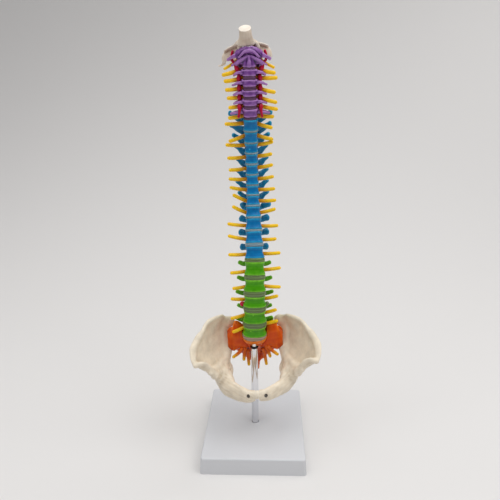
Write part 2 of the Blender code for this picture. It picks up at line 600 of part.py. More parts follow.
def sacrum_mesh(rod_hole):
    """Sacrum and coccyx in the pelvis's frame, with the strips of nerve that hang from its lower holes."""
    bm = bmesh.new()
    top = sacrum_top()
    limb(bm, [top @ Vector((0, 0, -1.2)), top @ Vector((0, 0.6, -7.0)), (0, 15.0, 112.0), (0, 21.6, 103.0),
              (0.6, 24.0, 94.0), (1.6, 22.0, 85.0), (2.2, 18.6, 78.4)],
         [(12.8, 8.0), (11.8, 8.0), (10.0, 5.6), (8.0, 4.4), (6.0, 3.2), (3.6, 2.2), (1.6, 1.4)])
    for side in (1, -1):
        limb(bm, [(side * 6.0, 9.0, 125.0), (side * 16.0, 9.6, 124.0), (side * 24.0, 11.0, 123.0),
                  (side * 33.6, 13.4, 121.0)],
             [(6.0, 9.0), (6.4, 12.4), (6.4, 14.4), (6.0, 13.4)], across=(0, 0.9, 0.44))
        limb(bm, [(side * 14.0, 11.0, 129.0), (side * 23.6, 12.6, 137.4), (side * 25.4, 13.4, 141.8)],
             [(6.0, 5.0), (4.8, 4.0), (2.8, 2.6)], across=(0.6, 0, -0.6))
        limb(bm, [(side * 19.0, 14.0, 117.0), (side * 15.0, 18.4, 108.0), (side * 10.0, 23.4, 97.0),
                  (side * 4.0, 23.4, 88.0)],
             [(10.0, 6.0), (9.0, 4.8), (5.0, 3.2), (2.2, 2.0)])
        limb(bm, [(side * 8.6, 15.0, 127.0), (side * 9.2, 16.2, 134.6)], [(2.6, 2.0), (2.0, 1.8)])
        for root, end in SACRAL_NERVES:
            limb(bm, [(side * root[0], root[1], root[2]), (side * end[0], end[1], end[2])],
                 [(1.7, 1.7), (1.5, 1.5)], sides=6)
    limb(bm, [(0, 17.0, 128.4), (0, 23.0, 118.0), (0, 27.0, 107.0), (0, 27.0, 97.0)],
         [(2.6, 2.4), (2.4, 2.4), (2.2, 2.0), (1.8, 1.4)])
    for level, (y, z) in enumerate(((19.6, 126.6), (24.6, 117.6), (28.2, 108.0), (28.4, 99.0))):
        blob(bm, (0, y, z), (1.8, 3.4 - 0.4 * level, 3.4 - 0.4 * level))
    mesh = moulded(bm, PELVIS_GRAIN, SACRUM_FACES, 2)
    for low_x, high_x in ((SACRUM_HALF_WIDTH, 60), (-60, -SACRUM_HALF_WIDTH)):
        mesh = combine(mesh, box((low_x, -30, 60), (high_x, 60, 160)), "DIFFERENCE")
    front = box((-14.0, -12.5, -4), (14.0, 11.5, 30))
    front.transform(top)
    mesh = combine(mesh, front, "DIFFERENCE")
    plate = bmesh.new()
    loft(plate, [[top @ Vector((x, y, z)) for x, y in oval(SACRUM_TOP_WIDTH, SACRUM_TOP_DEPTH, 12)]
                 for z in (-6, 0)])
    mesh = combine(mesh, mesh_of(plate), "UNION")
    return tidy(combine(mesh, rod_hole, "DIFFERENCE"))


def hip_mesh(side):
    """Hip bone of one side, made for +X and turned over for -X."""
    bm = bmesh.new()
    rows = []
    for rim, root in zip(CREST, BRIM):
        rim, root = Vector(rim), Vector(root)
        steps = [k / WING_STEPS for k in range(WING_STEPS + 1)]
        rows.append([bm.verts.new(root.lerp(rim, t) + WING_HOLLOW * math.sin(math.pi * t)) for t in steps])
    for low, high in zip(rows, rows[1:]):
        for k in range(WING_STEPS):
            bm.faces.new((low[k], low[k + 1], high[k + 1], high[k]))
    wing = with_modifiers(mesh_of(bm), ("SOLIDIFY", {"thickness": WING_THICKNESS, "offset": 0.0}))
    bm = bmesh.new()
    bm.from_mesh(wing)
    limb(bm, CREST, [(2.4, 2.4)] * 3 + [(2.4, 3.2)] * 3 + [(2.4, 4.6)] * 3 + [(2.4, 4.0), (2.2, 2.8)],
         across=(-0.5, -0.5, 0.7))
    limb(bm, [(35.0, 20, 132), (35.2, 16, 124), (35.6, 11, 115), (36.4, 4, 107), (38, -3, 101)],
         [(3.6, 6.0), (3.8, 8.0), (4.0, 8.0), (4.4, 7.0), (5.6, 7.0)])
    limb(bm, [(65, -37, 118.4), (57, -34, 113.6), (51.6, -30, 105.6), (46, -24, 97)],
         [(2.2, 2.4), (2.6, 3.0), (3.4, 3.6), (5.0, 5.0)], across=(0, 1, 0))
    blob(bm, (51.2, -29.4, 104.6), (3.6, 3.4, 4.2))
    blob(bm, (37.6, -9.0, 92.0), (9.0, 13.0, 12.0))
    blob(bm, HIP_CENTRE, (10.6, 12.6, 12.6))
    limb(bm, [(37, -13, 87.4), (31, -22, 80.6), (24, -28, 79.2), (16, -34, 79.4), (9, -38.6, 80.2), (-1, -41.6, 80.8)],
         [(8.0, 9.2), (5.4, 8.4), (4.6, 8.4), (4.2, 7.8), (4.0, 7.4), (3.8, 7.2)], across=(0, 1, 0))
    limb(bm, [(4, -39.4, 77.6), (11, -35.0, 76.0), (18, -27.0, 72.4), (25, -16, 66.6), (30, -4, 61.6)],
         [(3.2, 4.0), (3.0, 3.8), (2.6, 3.4), (2.8, 3.4), (4.0, 4.4)], across=(0, 1, 0))
    limb(bm, [(40, -6, 84), (37.4, 2, 75), (34.4, 6, 67), (31.4, 3, 62)],
         [(7.4, 7.4), (5.8, 6.0), (5.8, 6.2), (4.8, 5.2)])
    blob(bm, (33, 5.4, 63), (5.0, 6.4, 5.6))
    limb(bm, [(37, 3, 90), (31.6, 6.6, 87.6), (29.8, 7.6, 86.6)], [(4.0, 5.0), (3.0, 3.6), (2.6, 2.8)])
    blob(bm, (34.0, 26, 131), (3.4, 4.6, 5.0))
    blob(bm, (34.0, 23, 120), (3.2, 4.0, 4.0))
    socket = Vector(HIP_CENTRE) + Vector(SOCKET_AXIS).normalized() * SOCKET_OUT
    ball = bmesh.new()
    bmesh.ops.create_icosphere(ball, subdivisions=3, radius=SOCKET_RADIUS, matrix=Matrix.Translation(socket))
    mesh = moulded(bm, PELVIS_GRAIN, HIP_FACES, 3, [mesh_of(ball)])
    sacral_face = SACRUM_HALF_WIDTH + HIP_GAP
    mesh = combine(mesh, box((-20, 2, 92), (sacral_face, 70, 170)), "DIFFERENCE")
    mesh = combine(mesh, box((-30, -80, 40), (PUBIC_GAP / 2 + SEAT_GAP, -20, 120)), "DIFFERENCE")
    mesh = combine(mesh, pubic_screw_shape(SEAT_GAP), "DIFFERENCE")
    return tidy(turned_over(mesh, side))


def turned_over(mesh, side):
    """A shape made for +X, turned over when it is for -X."""
    if side < 0:
        mesh.transform(Matrix.Diagonal((-1, 1, 1, 1)))
        mesh.flip_normals()
    return mesh


def pubic_screw_shape(spare):
    """Countersunk screw beside the symphysis, or its hole when spare is more than nothing."""
    head_top = 6.0 if spare else 0.0
    head = cylinder(PUBIC_SCREW_HEAD + spare, -PUBIC_SCREW_HEAD_HEIGHT - spare, head_top, 8)
    shaft = cylinder(PUBIC_SCREW_RADIUS + spare, -PUBIC_SCREW_LENGTH - spare, -PUBIC_SCREW_HEAD_HEIGHT / 2, 8)
    screw = combine(head, shaft, "UNION")
    turn = Vector((0, 0, 1)).rotation_difference(Vector(PUBIC_SCREW_AXIS).normalized())
    screw.transform(Matrix.Translation(PUBIC_SCREW_FACE) @ turn.to_matrix().to_4x4())
    return screw


def disc_mesh(low_outline, high_outline, low_place, high_place):
    """Disc between two endplates, proud of both at its middle."""
    low = [low_place @ Vector((x, y, SEAT_GAP)) for x, y in low_outline]
    high = [high_place @ Vector((x, y, -SEAT_GAP)) for x, y in high_outline]
    middle_low = sum(low, Vector()) / len(low)
    middle_high = sum(high, Vector()) / len(high)
    centre = (middle_low + middle_high) / 2
    swell = [centre + ((a + b) / 2 - centre) * DISC_BULGE for a, b in zip(low, high)]
    bm = bmesh.new()
    loft(bm, [low, swell, high])
    return mesh_of(bm)


def build_spine(places, planes, finish):
    """Vertebrae and discs, from the lowest up. A thoracic disc is one with the body under it."""
    below = Vertebra("S1", SACRUM_TOP_WIDTH, SACRUM_TOP_DEPTH, 0, 0, SACRAL_SLOPE, 0)
    top = pelvis_place() @ sacrum_top()
    for index, vertebra in enumerate(VERTEBRAE):
        above = VERTEBRAE[index + 1] if index + 1 < len(VERTEBRAE) else None
        place = places[vertebra.name]
        mesh = vertebra_mesh(vertebra, places, planes, above)
        add_part("vertebra_" + vertebra.name, mesh, finish[vertebra.name[0]], place)
        if not (below.name[0] == "T" and vertebra.name[0] == "T"):
            bottom = place @ Matrix.Translation((0, 0, -vertebra.height / 2))
            sides = BODY_SIDES[vertebra.name[0]]
            narrow = 1.0 if below.name == "S1" else top_share(below)
            low_outline = oval(below.width * narrow, below.depth, sides)
            disc = disc_mesh(low_outline, oval(vertebra.width, vertebra.depth, sides), top, bottom)
            if vertebra.name == HERNIA_ABOVE:
                lump = bmesh.new()
                blob(lump, (top.translation + bottom.translation) / 2 + HERNIA_SPOT, HERNIA_RADII)
                disc = combine(disc, moulded(lump, VERTEBRA_GRAIN, HERNIA_FACES, 1), "UNION")
            add_part("disc_" + below.name + "_" + vertebra.name, tidy(disc), finish["disc"])
        below = vertebra
        top = place @ Matrix.Translation((0, 0, vertebra.height / 2))


def nerve_root(centre, tip, region):
    """Start of a stub inside the cord, on a line that leaves the arch within the slack of its exit's middle."""
    share = (region.exit - abs(centre.x)) / abs(tip.x - centre.x)
    off_middle = max(-region.slack, min(region.slack, (tip.z - centre.z) * share))
    leave = centre.lerp(tip, share)
    leave.z = centre.z + off_middle
    back = (abs(leave.x - centre.x) - NERVE_START) / abs(tip.x - leave.x)
    return leave + (leave - tip) * back


def build_cord(places, planes, finish):
    """Cord down the canal with a pair of nerve stubs at every disc."""
    path = []
    nerves = bmesh.new()
    for vertebra in VERTEBRAE:
        region = REGIONS[vertebra.name[0]]
        point, normal = planes[vertebra.name]
        place = places[vertebra.name]
        point = point + normal * region.nerve_rise
        back = place.to_3x3() @ Vector((0, 1, 0))
        back = (back - normal * back.dot(normal)).normalized()
        centre = point + back * (vertebra.depth / 2 + CORD_BEHIND_BODY + region.cord)
        path.append((centre, region.cord))
        for across, forward, up in NERVE_TIPS[vertebra.name]:
            tip = Vector((across, centre.y - forward, planes[vertebra.name][0].z + up))
            limb(nerves, [nerve_root(centre, tip, region), tip], [(NERVE_RADIUS,) * 2, (NERVE_TIP_RADIUS,) * 2],
                 across=(0, 1, 0), sides=5)
    ring = atlas_place(places)
    for side in (1, -1):
        stub = [ring @ Vector((side * x, y, z)) for x, y, z in FIRST_NERVE]
        limb(nerves, stub, [(1.3, 1.3)] * len(stub), across=(0, 1, 0), sides=5)
    path.append((ring @ Vector((0, 8.4, 0)), 2.2))
    cord = bmesh.new()
    limb(cord, [centre for centre, radius in path], [(radius, radius * 0.9) for centre, radius in path], sides=6)
    mesh = combine(mesh_of(cord), mesh_of(nerves), "UNION")
    add_part("spinal_cord", tidy(mesh), finish["nerve"])


def build_arteries(places, finish):
    """Red tubes up through the holes of the neck's wings."""
    ring = atlas_place(places)
    for side, name in ((1, "vertebral_artery_left"), (-1, "vertebral_artery_right")):
        path = [places["C7"] @ Vector((side * (ARTERY_SIDE + 0.8), -1.8, -3.4)),
                places["C7"] @ Vector((side * (ARTERY_SIDE + 0.4), -1.6, 2.0)),
                places["C6"] @ Vector((side * ARTERY_SIDE, ARTERY_BACK, -2.4))]
        path += [places[level] @ Vector((side * ARTERY_SIDE, ARTERY_BACK, 0))
                 for level in reversed(ARTERY_LEVELS[1:])]
        path.append(places["C3"] @ Vector((side * ARTERY_SIDE, ARTERY_BACK, 1.8)))
        path += [places["C2"] @ Vector((side * AXIS_ARTERY_SIDE, ARTERY_BACK, rise)) for rise in (-3.2, 1.6)]
        path += [ring @ Vector((side * ATLAS_ARTERY_SIDE, 3.8, rise)) for rise in (-8.8, -3.2)]
        bm = bmesh.new()
        limb(bm, path, [(ARTERY_RADIUS, ARTERY_RADIUS)] * len(path), sides=5)
        add_part(name, tidy(mesh_of(bm)), finish["artery"])


def build_base(finish):
    """Moulded plate, open below, with a boss for the rod and cross ribs, and what stands in it."""
    stand = Matrix.Translation((ROD_SIDE, 0, 0)) @ Matrix.Rotation(math.radians(BASE_TURN), 4, "Z")
    outer = bmesh.new()
    bottom = [(x * BASE_WIDTH / 2, y * BASE_DEPTH / 2) for x, y in ((-1, -1), (1, -1), (1, 1), (-1, 1))]
    rings = []
    for z, inset in ((0, 0), (BASE_HEIGHT, BASE_DRAFT)):
        rings.append([Vector((x - math.copysign(inset, x), y - math.copysign(inset, y), z)) for x, y in bottom])
    loft(outer, rings)
    upright = [e for e in outer.edges if abs(e.verts[0].co.z - e.verts[1].co.z) > 1]
    bmesh.ops.bevel(outer, geom=upright, offset=BASE_CORNER, segments=2, affect="EDGES", profile=0.5)
    rim = [e for e in outer.edges if min(v.co.z for v in e.verts) > BASE_HEIGHT - 0.01]
    bmesh.ops.bevel(outer, geom=rim, offset=BASE_EDGE, segments=2, affect="EDGES", profile=0.5)
    mesh = mesh_of(outer)
    mesh.transform(Matrix.Translation((BASE_SHIFT, 0, 0)))
    inside_x = BASE_WIDTH / 2 - BASE_WALL - BASE_DRAFT
    inside_y = BASE_DEPTH / 2 - BASE_WALL - BASE_DRAFT
    roof = BASE_HEIGHT - BASE_WALL
    low_x, high_x = BASE_SHIFT - inside_x, BASE_SHIFT + inside_x
    boss_low = SCREW_HEAD_HEIGHT + 1
    mesh = combine(mesh, box((low_x, -inside_y, -1), (high_x, inside_y, roof)), "DIFFERENCE")
    for low, high in (((low_x - 0.2, -BASE_RIB / 2), (high_x + 0.2, BASE_RIB / 2)),
                      ((-BASE_RIB / 2, -inside_y - 0.2), (BASE_RIB / 2, inside_y + 0.2))):
        mesh = combine(mesh, box((*low, boss_low), (*high, roof + 0.2)), "UNION")
    mesh = combine(mesh, cylinder(BOSS_RADIUS, boss_low, roof + 0.2, 16), "UNION")
    rod_low = BASE_HEIGHT - ROD_SOCKET_DEPTH
    mesh = combine(mesh, cylinder(ROD_RADIUS + SEAT_GAP, rod_low, BASE_HEIGHT + 1, 20), "DIFFERENCE")
    mesh = combine(mesh, cylinder(SCREW_RADIUS + SEAT_GAP, 0, rod_low + 1, 10), "DIFFERENCE")
    add_part("base_plate", tidy(mesh), finish["base"], stand)

    rod = cylinder(ROD_RADIUS, rod_low + SEAT_GAP, ROD_TOP, 20)
    rod = combine(rod, cylinder(SCREW_RADIUS + SEAT_GAP, 0, rod_low + SCREW_GRIP, 10), "DIFFERENCE")
    rod = combine(rod, cylinder(STUD_RADIUS + SEAT_GAP, ROD_TOP - STUD_SOCKET, ROD_TOP + 1, 12), "DIFFERENCE")
    add_part("support_rod", tidy(rod), finish["chrome"], stand)

    head_top = boss_low - SEAT_GAP
    shaft = cylinder(SCREW_RADIUS, head_top - 0.5, rod_low + SCREW_GRIP - SEAT_GAP, 10)
    head = cylinder(SCREW_HEAD_RADIUS, head_top - SCREW_HEAD_HEIGHT, head_top, 12)
    screw = combine(head, shaft, "UNION")
    screw = combine(screw, box((-3.0, -0.5, -1), (3.0, 0.5, head_top - SCREW_HEAD_HEIGHT + 1.0)), "DIFFERENCE")
    screw = combine(screw, box((-0.5, -3.0, -1), (0.5, 3.0, head_top - SCREW_HEAD_HEIGHT + 1.0)), "DIFFERENCE")
    add_part("base_screw", tidy(screw), finish["steel"], stand)

    washer_low = ROD_TOP + SEAT_GAP
    washer = cylinder(WASHER_RADIUS, washer_low, washer_low + WASHER_HEIGHT, 16)
    washer = combine(washer, cylinder(STUD_RADIUS + SEAT_GAP, ROD_TOP, ROD_TOP + 9, 12), "DIFFERENCE")
    add_part("rod_washer", tidy(washer), finish["black"], stand)
    stud = cylinder(STUD_RADIUS, ROD_TOP - STUD_SOCKET + SEAT_GAP, STUD_TOP, 12)
    add_part("rod_stud", stud, finish["chrome"], stand)


def build_pelvis(finish):
    """Sacrum with the stud's hole, both hips, and the disc and screws of the pubis."""
    place = pelvis_place()
    axis = Matrix.Translation((ROD_SIDE, 0, 0))
    hole = cylinder(STUD_RADIUS + SEAT_GAP, ROD_TOP - 20, STUD_TOP + SEAT_GAP, 12, axis)
    room_top = ROD_TOP + WASHER_HEIGHT + 2 * SEAT_GAP
    room = cylinder(WASHER_RADIUS + WASHER_ROOM, ROD_TOP - 30, room_top, 16, axis)
    hole = combine(hole, room, "UNION")
    hole.transform(place.inverted())
    add_part("sacrum", sacrum_mesh(hole), finish["sacrum"], place)
    bm = bmesh.new()
    limb(bm, [(-PUBIC_GAP / 2, -41.0, 80.8), (PUBIC_GAP / 2, -41.0, 80.8)], [(4.0, 7.2)] * 2,
         across=(0, 1, 0), sides=12)
    add_part("pubic_disc", tidy(mesh_of(bm)), finish["bone"], place)
    for side, name in ((1, "left"), (-1, "right")):
        add_part("hip_bone_" + name, hip_mesh(side), finish["bone"], place)
        screw = turned_over(pubic_screw_shape(0), side)
        add_part("pubic_screw_" + name, tidy(screw), finish["steel"], place)


def build():
    finish = {kind: material("moulded_" + kind, region.colour, 0.4) for kind, region in REGIONS.items()}
    finish.update({
        "base": material("white_abs", WHITE_ABS, 0.45),
        "chrome": material("chrome", CHROME, 0.12, 1.0),
        "steel": material("dark_steel", STEEL, 0.35, 1.0),
        "black": material("black_rubber", BLACK, 0.6),
        "bone": material("bone_pvc", BONE, 0.5),
        "sacrum": material("orange_pvc", ORANGE, 0.4),
        "disc": material("soft_disc", DISC_GREY, 0.35),
        "nerve": material("yellow_pvc", NERVE_YELLOW, 0.4),
        "artery": material("red_pvc", ARTERY_RED, 0.35),
    })
    build_base(finish)
    build_pelvis(finish)
    places = stack()
    planes = disc_planes(places)
    build_spine(places, planes, finish)
    add_part("vertebra_C1", atlas_mesh(), finish["C"], atlas_place(places))
    skull_place = atlas_place(places) @ Matrix.Translation(SKULL_SHIFT)
    skull_place = skull_place @ Matrix.Rotation(math.radians(-SKULL_ROLL), 4, "Y")
    add_part("occipital_bone", skull_mesh(), finish["bone"], skull_place)
    build_cord(places, planes, finish)
    build_arteries(places, finish)


clear_scene()
parts = new_collection("spine_model")
build()
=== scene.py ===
# %% [markdown]
# # A desk model of the spine
# A teaching model of the spine and pelvis stands on a chrome rod in a white moulded base. Each region of
# the spine is moulded vinyl of its own colour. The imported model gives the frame: nearly every fine piece
# made below takes the place of one of its plain solids, at the same spot and the same size.

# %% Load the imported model
import math
from collections import namedtuple

import bmesh
import bpy
from mathutils import Matrix, Vector, noise


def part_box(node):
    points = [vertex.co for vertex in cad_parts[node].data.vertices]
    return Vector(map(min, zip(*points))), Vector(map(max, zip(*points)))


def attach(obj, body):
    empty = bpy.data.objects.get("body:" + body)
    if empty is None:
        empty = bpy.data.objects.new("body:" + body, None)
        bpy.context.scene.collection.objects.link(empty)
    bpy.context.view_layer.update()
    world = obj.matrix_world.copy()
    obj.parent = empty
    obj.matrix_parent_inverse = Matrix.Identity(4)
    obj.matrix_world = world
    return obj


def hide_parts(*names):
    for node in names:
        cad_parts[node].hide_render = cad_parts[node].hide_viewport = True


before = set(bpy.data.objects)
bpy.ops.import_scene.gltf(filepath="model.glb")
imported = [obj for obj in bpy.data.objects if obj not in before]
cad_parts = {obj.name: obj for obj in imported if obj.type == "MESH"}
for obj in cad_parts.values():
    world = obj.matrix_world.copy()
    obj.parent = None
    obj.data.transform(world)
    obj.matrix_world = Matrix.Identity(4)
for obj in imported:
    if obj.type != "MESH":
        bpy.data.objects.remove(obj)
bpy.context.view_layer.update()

MM = 0.001              # every size below is in millimetres, and each finished mesh is scaled to metres once

# %% [markdown]
# ## Camera
# The picture was taken from about the height of the model's neck, half a metre in front and looking down.
# From so near, whatever is closer to the lens looks clearly larger.

# %% Set up the camera
CAMERA_PLACE = (-4.0, -506.9, 392.8)
CAMERA_DIP = 17.55      # degrees below the horizon
CAMERA_ROLL = -0.96     # degrees
LENS = 36.0             # as long as the sensor is wide
SENSOR_WIDTH = 36.0

eye = bpy.data.objects.new("camera", bpy.data.cameras.new("camera"))
eye.data.lens = LENS
eye.data.sensor_width = SENSOR_WIDTH
dip = Matrix.Rotation(math.radians(90 - CAMERA_DIP), 4, "X")
roll = Matrix.Rotation(math.radians(CAMERA_ROLL), 4, "Z")
eye.matrix_world = Matrix.Translation(Vector(CAMERA_PLACE) * MM) @ (dip @ roll)
bpy.context.scene.collection.objects.link(eye)
bpy.context.scene.camera = eye
print("camera stands at", tuple(round(value, 3) for value in eye.location))

# %% [markdown]
# ## Node helpers
# Materials and node modifiers are both trees of nodes. One small function adds a node of any kind, with
# its properties and its sockets, so that a tree reads from top to bottom like a recipe. Colours are
# written as on a paint card, in sRGB, and turned to the linear values that a shader wants.

# %% Add a node, and turn a colour to linear
def add_node(tree, kind, settings=None, inputs=None):
    """Adds a node, sets its properties, and fills each socket with a value or joins it to another socket."""
    node = tree.nodes.new(kind)
    for name, value in (settings or {}).items():
        setattr(node, name, value)
    for socket, value in (inputs or {}).items():
        if isinstance(value, bpy.types.NodeSocket):
            tree.links.new(value, node.inputs[socket])
        else:
            node.inputs[socket].default_value = value
    return node


def linear(code):
    """Turns an sRGB hex colour into linear red, green and blue, with full cover."""
    channels = [int(code[k:k + 2], 16) / 255 for k in (1, 3, 5)]
    return [c / 12.92 if c <= 0.04045 else ((c + 0.055) / 1.055) ** 2.4 for c in channels] + [1.0]


def per_metre(size):
    """Scale of a pattern whose marks are about so many millimetres across."""
    return 1 / (size * MM)


def new_finish(name, values):
    """A material whose shader has these values on its own sockets."""
    finish = bpy.data.materials.new(name)
    finish.use_nodes = True
    shader = finish.node_tree.nodes["Principled BSDF"]
    for socket, value in values.items():
        shader.inputs[socket].default_value = value
    return finish, finish.node_tree, shader


print("mid grey #808080 is", round(linear("#808080")[0], 3), "in linear light")

# %% [markdown]
# ## Moulded vinyl
# The vertebrae are soft vinyl, poured into heated moulds. The skin is smooth and a little waxy, with a
# fine pitting where the mould was blasted, and the colour is mixed into the material. Shade is painted
# darker into the hollows, and highlights are painted paler along the edges. Pointiness finds those edges
# and hollows on a dense mesh, and two scales of noise keep a large face from being flat.

# %% Mix the vinyl colours
PIT_SIZE = 1.1          # the real pits are finer: this is as fine as the picture shows
CLOUD_SIZE = 9.0


def vinyl(name, deep, middle, edge_highlight, roughness, shine=0.3, pit_depth=0.05, spread=0.035):
    """Moulded vinyl or plastic with painted shade in its hollows and painted highlights on its edges."""
    finish, tree, shader = new_finish(name, {"Roughness": roughness, "Specular IOR Level": shine})
    place = add_node(tree, "ShaderNodeTexCoord").outputs["Object"]
    # Pointiness paints shade into the hollows with the deep colour, and highlights onto the edges with the
    # pale one.
    form = add_node(tree, "ShaderNodeNewGeometry").outputs["Pointiness"]
    ramp = add_node(tree, "ShaderNodeValToRGB", inputs={"Fac": form})
    stops = ramp.color_ramp.elements
    stops[0].position = 0.5 - spread
    stops[0].color = linear(deep)
    stops[1].position = 0.5 + spread
    stops[1].color = linear(edge_highlight)
    stops.new(0.5).color = linear(middle)
    clouds = add_node(tree, "ShaderNodeTexNoise", inputs={"Vector": place, "Scale": per_metre(CLOUD_SIZE),
                                                          "Detail": 3.0})
    cloud_range = add_node(tree, "ShaderNodeMapRange",
                           inputs={"Value": clouds.outputs["Fac"], "From Min": 0.3, "From Max": 0.7,
                                   "To Min": 0.9, "To Max": 1.1})
    tint = add_node(tree, "ShaderNodeVectorMath", {"operation": "SCALE"},
                    {0: ramp.outputs["Color"], "Scale": cloud_range.outputs["Result"]})
    tree.links.new(tint.outputs["Vector"], shader.inputs["Base Color"])
    pits = add_node(tree, "ShaderNodeTexNoise", inputs={"Vector": place, "Scale": per_metre(PIT_SIZE),
                                                        "Detail": 2.0})
    bump = add_node(tree, "ShaderNodeBump", inputs={"Height": pits.outputs["Fac"], "Strength": 0.6,
                                                    "Distance": pit_depth * MM})
    tree.links.new(bump.outputs["Normal"], shader.inputs["Normal"])
    return finish


# Each vinyl's first colour is painted shade for its hollows, and its third is a painted highlight for its
# edges.
purple_vinyl = vinyl("moulded_vinyl_purple", "#220A30", "#723E8C", "#AE7CC0", 0.24, shine=0.45, spread=0.026)
blue_vinyl = vinyl("moulded_vinyl_blue", "#004A78", "#006CA8", "#24A0CC", 0.3, shine=0.25)
green_vinyl = vinyl("moulded_vinyl_green", "#1A6400", "#449800", "#80C838", 0.3, shine=0.25)
orange_vinyl = vinyl("moulded_vinyl_orange", "#902400", "#D04600", "#F48420", 0.3, shine=0.25)
bone_vinyl = vinyl("moulded_vinyl_bone", "#C2AD8C", "#E4D6BF", "#EEE4D2", 0.42, pit_depth=0.12, spread=0.05)
skull_vinyl = vinyl("moulded_vinyl_ivory", "#A88E76", "#D4C2AE", "#E4DACC", 0.45, pit_depth=0.08)
red_vinyl = vinyl("soft_vinyl_red", "#4A000C", "#8C0020", "#B81038", 0.28)
print("vinyl colours mixed:", [item.name for item in bpy.data.materials if "vinyl" in item.name])

# %% [markdown]
# ## Soft yellow vinyl
# The nerve stubs are softer vinyl with a wet look, darker where they leave the spine. A gradient by
# height would not do, because the stubs point every way. So an attribute that runs along each tube
# carries the change of colour, and a little light under the skin makes the vinyl look soft.

# %% Mix the nerve vinyls
def stub_vinyl(name, root, tip, turn_from, turn_to):
    """Soft vinyl that changes colour along the tube, from its root to its tip."""
    finish, tree, shader = new_finish(name, {"Roughness": 0.34, "Specular IOR Level": 0.35,
                                             "Subsurface Weight": 0.15,
                                             "Subsurface Radius": (0.0015, 0.0008, 0.0003)})
    along = add_node(tree, "ShaderNodeAttribute", {"attribute_name": "along"}).outputs["Fac"]
    ramp = add_node(tree, "ShaderNodeValToRGB", inputs={"Fac": along})
    ramp.color_ramp.elements[0].position = turn_from
    ramp.color_ramp.elements[0].color = linear(root)
    ramp.color_ramp.elements[1].position = turn_to
    ramp.color_ramp.elements[1].color = linear(tip)
    tree.links.new(ramp.outputs["Color"], shader.inputs["Base Color"])
    place = add_node(tree, "ShaderNodeTexCoord").outputs["Object"]
    pits = add_node(tree, "ShaderNodeTexNoise", inputs={"Vector": place, "Scale": per_metre(PIT_SIZE)})
    bump = add_node(tree, "ShaderNodeBump", inputs={"Height": pits.outputs["Fac"], "Strength": 0.5,
                                                    "Distance": 0.05 * MM})
    tree.links.new(bump.outputs["Normal"], shader.inputs["Normal"])
    return finish


nerve_vinyl = stub_vinyl("soft_vinyl_yellow", "#E09400", "#FFCC10", 0.3, 0.7)
sacral_vinyl = stub_vinyl("soft_vinyl_orange_to_yellow", "#DC6408", "#F4C018", 0.5, 0.95)
print("nerve vinyls mixed:", nerve_vinyl.name, "and", sacral_vinyl.name)

# %% [markdown]
# ## Clear rubber
# The discs are clear, tinted rubber between the bodies, so they take some colour from their neighbours.
# Full glass would be grainy and too clear. So only a part of the light goes through, and faint bands over
# the height stand for the layers of a real disc and paint highlights along its rims. The rubber is cast and
# smooth, which gives it small bright highlights.

# %% Mix the disc rubbers
LAYER_AND_HIGHLIGHT_SIZE = 9.0        # wider than the real layers, so that they show


def soft_disc(name, colour, clear):
    """Clear tinted rubber with faint bands, as the layers of a disc and as painted highlights along its rims.
    """
    finish, tree, shader = new_finish(name, {"Roughness": 0.2, "IOR": 1.42, "Transmission Weight": clear})
    place = add_node(tree, "ShaderNodeTexCoord").outputs["Object"]
    rings = add_node(tree, "ShaderNodeTexWave", {"bands_direction": "Z"},
                     {"Vector": place, "Scale": per_metre(LAYER_AND_HIGHLIGHT_SIZE), "Distortion": 1.0})
    # The bands are painted highlights along the rims, as well as the layers.
    layer_and_rim_highlight_tones = add_node(tree, "ShaderNodeMapRange", inputs={"Value": rings.outputs["Fac"], "To Min": 0.8,
                                                         "To Max": 1.3})
    tint = add_node(tree, "ShaderNodeVectorMath", {"operation": "SCALE"},
                    {0: linear(colour)[:3], "Scale": layer_and_rim_highlight_tones.outputs["Result"]})
    tree.links.new(tint.outputs["Vector"], shader.inputs["Base Color"])
    bump = add_node(tree, "ShaderNodeBump", inputs={"Height": rings.outputs["Fac"], "Strength": 0.3,
                                                    "Distance": 0.1 * MM})
    tree.links.new(bump.outputs["Normal"], shader.inputs["Normal"])
    return finish


neck_rubber = soft_disc("clear_rubber_neck", "#6C4668", 0.3)
chest_rubber = soft_disc("clear_rubber_chest", "#869CA6", 0.25)
loin_rubber = soft_disc("clear_rubber_loin", "#758A58", 0.3)
sacral_rubber = soft_disc("clear_rubber_sacral", "#B79A86", 0.25)
print("rubbers mixed:", [item.name for item in bpy.data.materials if "rubber" in item.name])

# %% [markdown]
# ## Plated and blackened steel
# The rod is drawn tube with a chrome plate: a mirror with very faint lines along it, left by the drawing.
# Its gloss comes from low roughness alone. The small screws are blackened and left rough, so they look
# dull and darker.

# %% Mix the metals
LINE_SIZE = 0.7         # the real lines are finer
LINE_SQUEEZE = 0.04     # a line is 25 times as long as it is wide


def metal(name, colour, roughness, scratch_depth):
    """Plated or blackened steel with faint lines drawn along its height."""
    finish, tree, shader = new_finish(name, {"Base Color": linear(colour), "Metallic": 1.0,
                                             "Roughness": roughness})
    place = add_node(tree, "ShaderNodeTexCoord").outputs["Object"]
    stretch = add_node(tree, "ShaderNodeMapping", inputs={"Vector": place, "Scale": (1.0, 1.0, LINE_SQUEEZE)})
    lines = add_node(tree, "ShaderNodeTexNoise", inputs={"Vector": stretch.outputs["Vector"],
                                                         "Scale": per_metre(LINE_SIZE), "Detail": 2.0})
    bump = add_node(tree, "ShaderNodeBump", inputs={"Height": lines.outputs["Fac"], "Strength": 0.3,
                                                    "Distance": scratch_depth * MM})
    tree.links.new(bump.outputs["Normal"], shader.inputs["Normal"])
    return finish


chrome_plate = metal("chrome_plated_steel", "#E3E3E6", 0.09, 0.004)
dark_steel = metal("blackened_steel", "#A39C94", 0.38, 0.01)
print("metals mixed:", chrome_plate.name, "and", dark_steel.name)
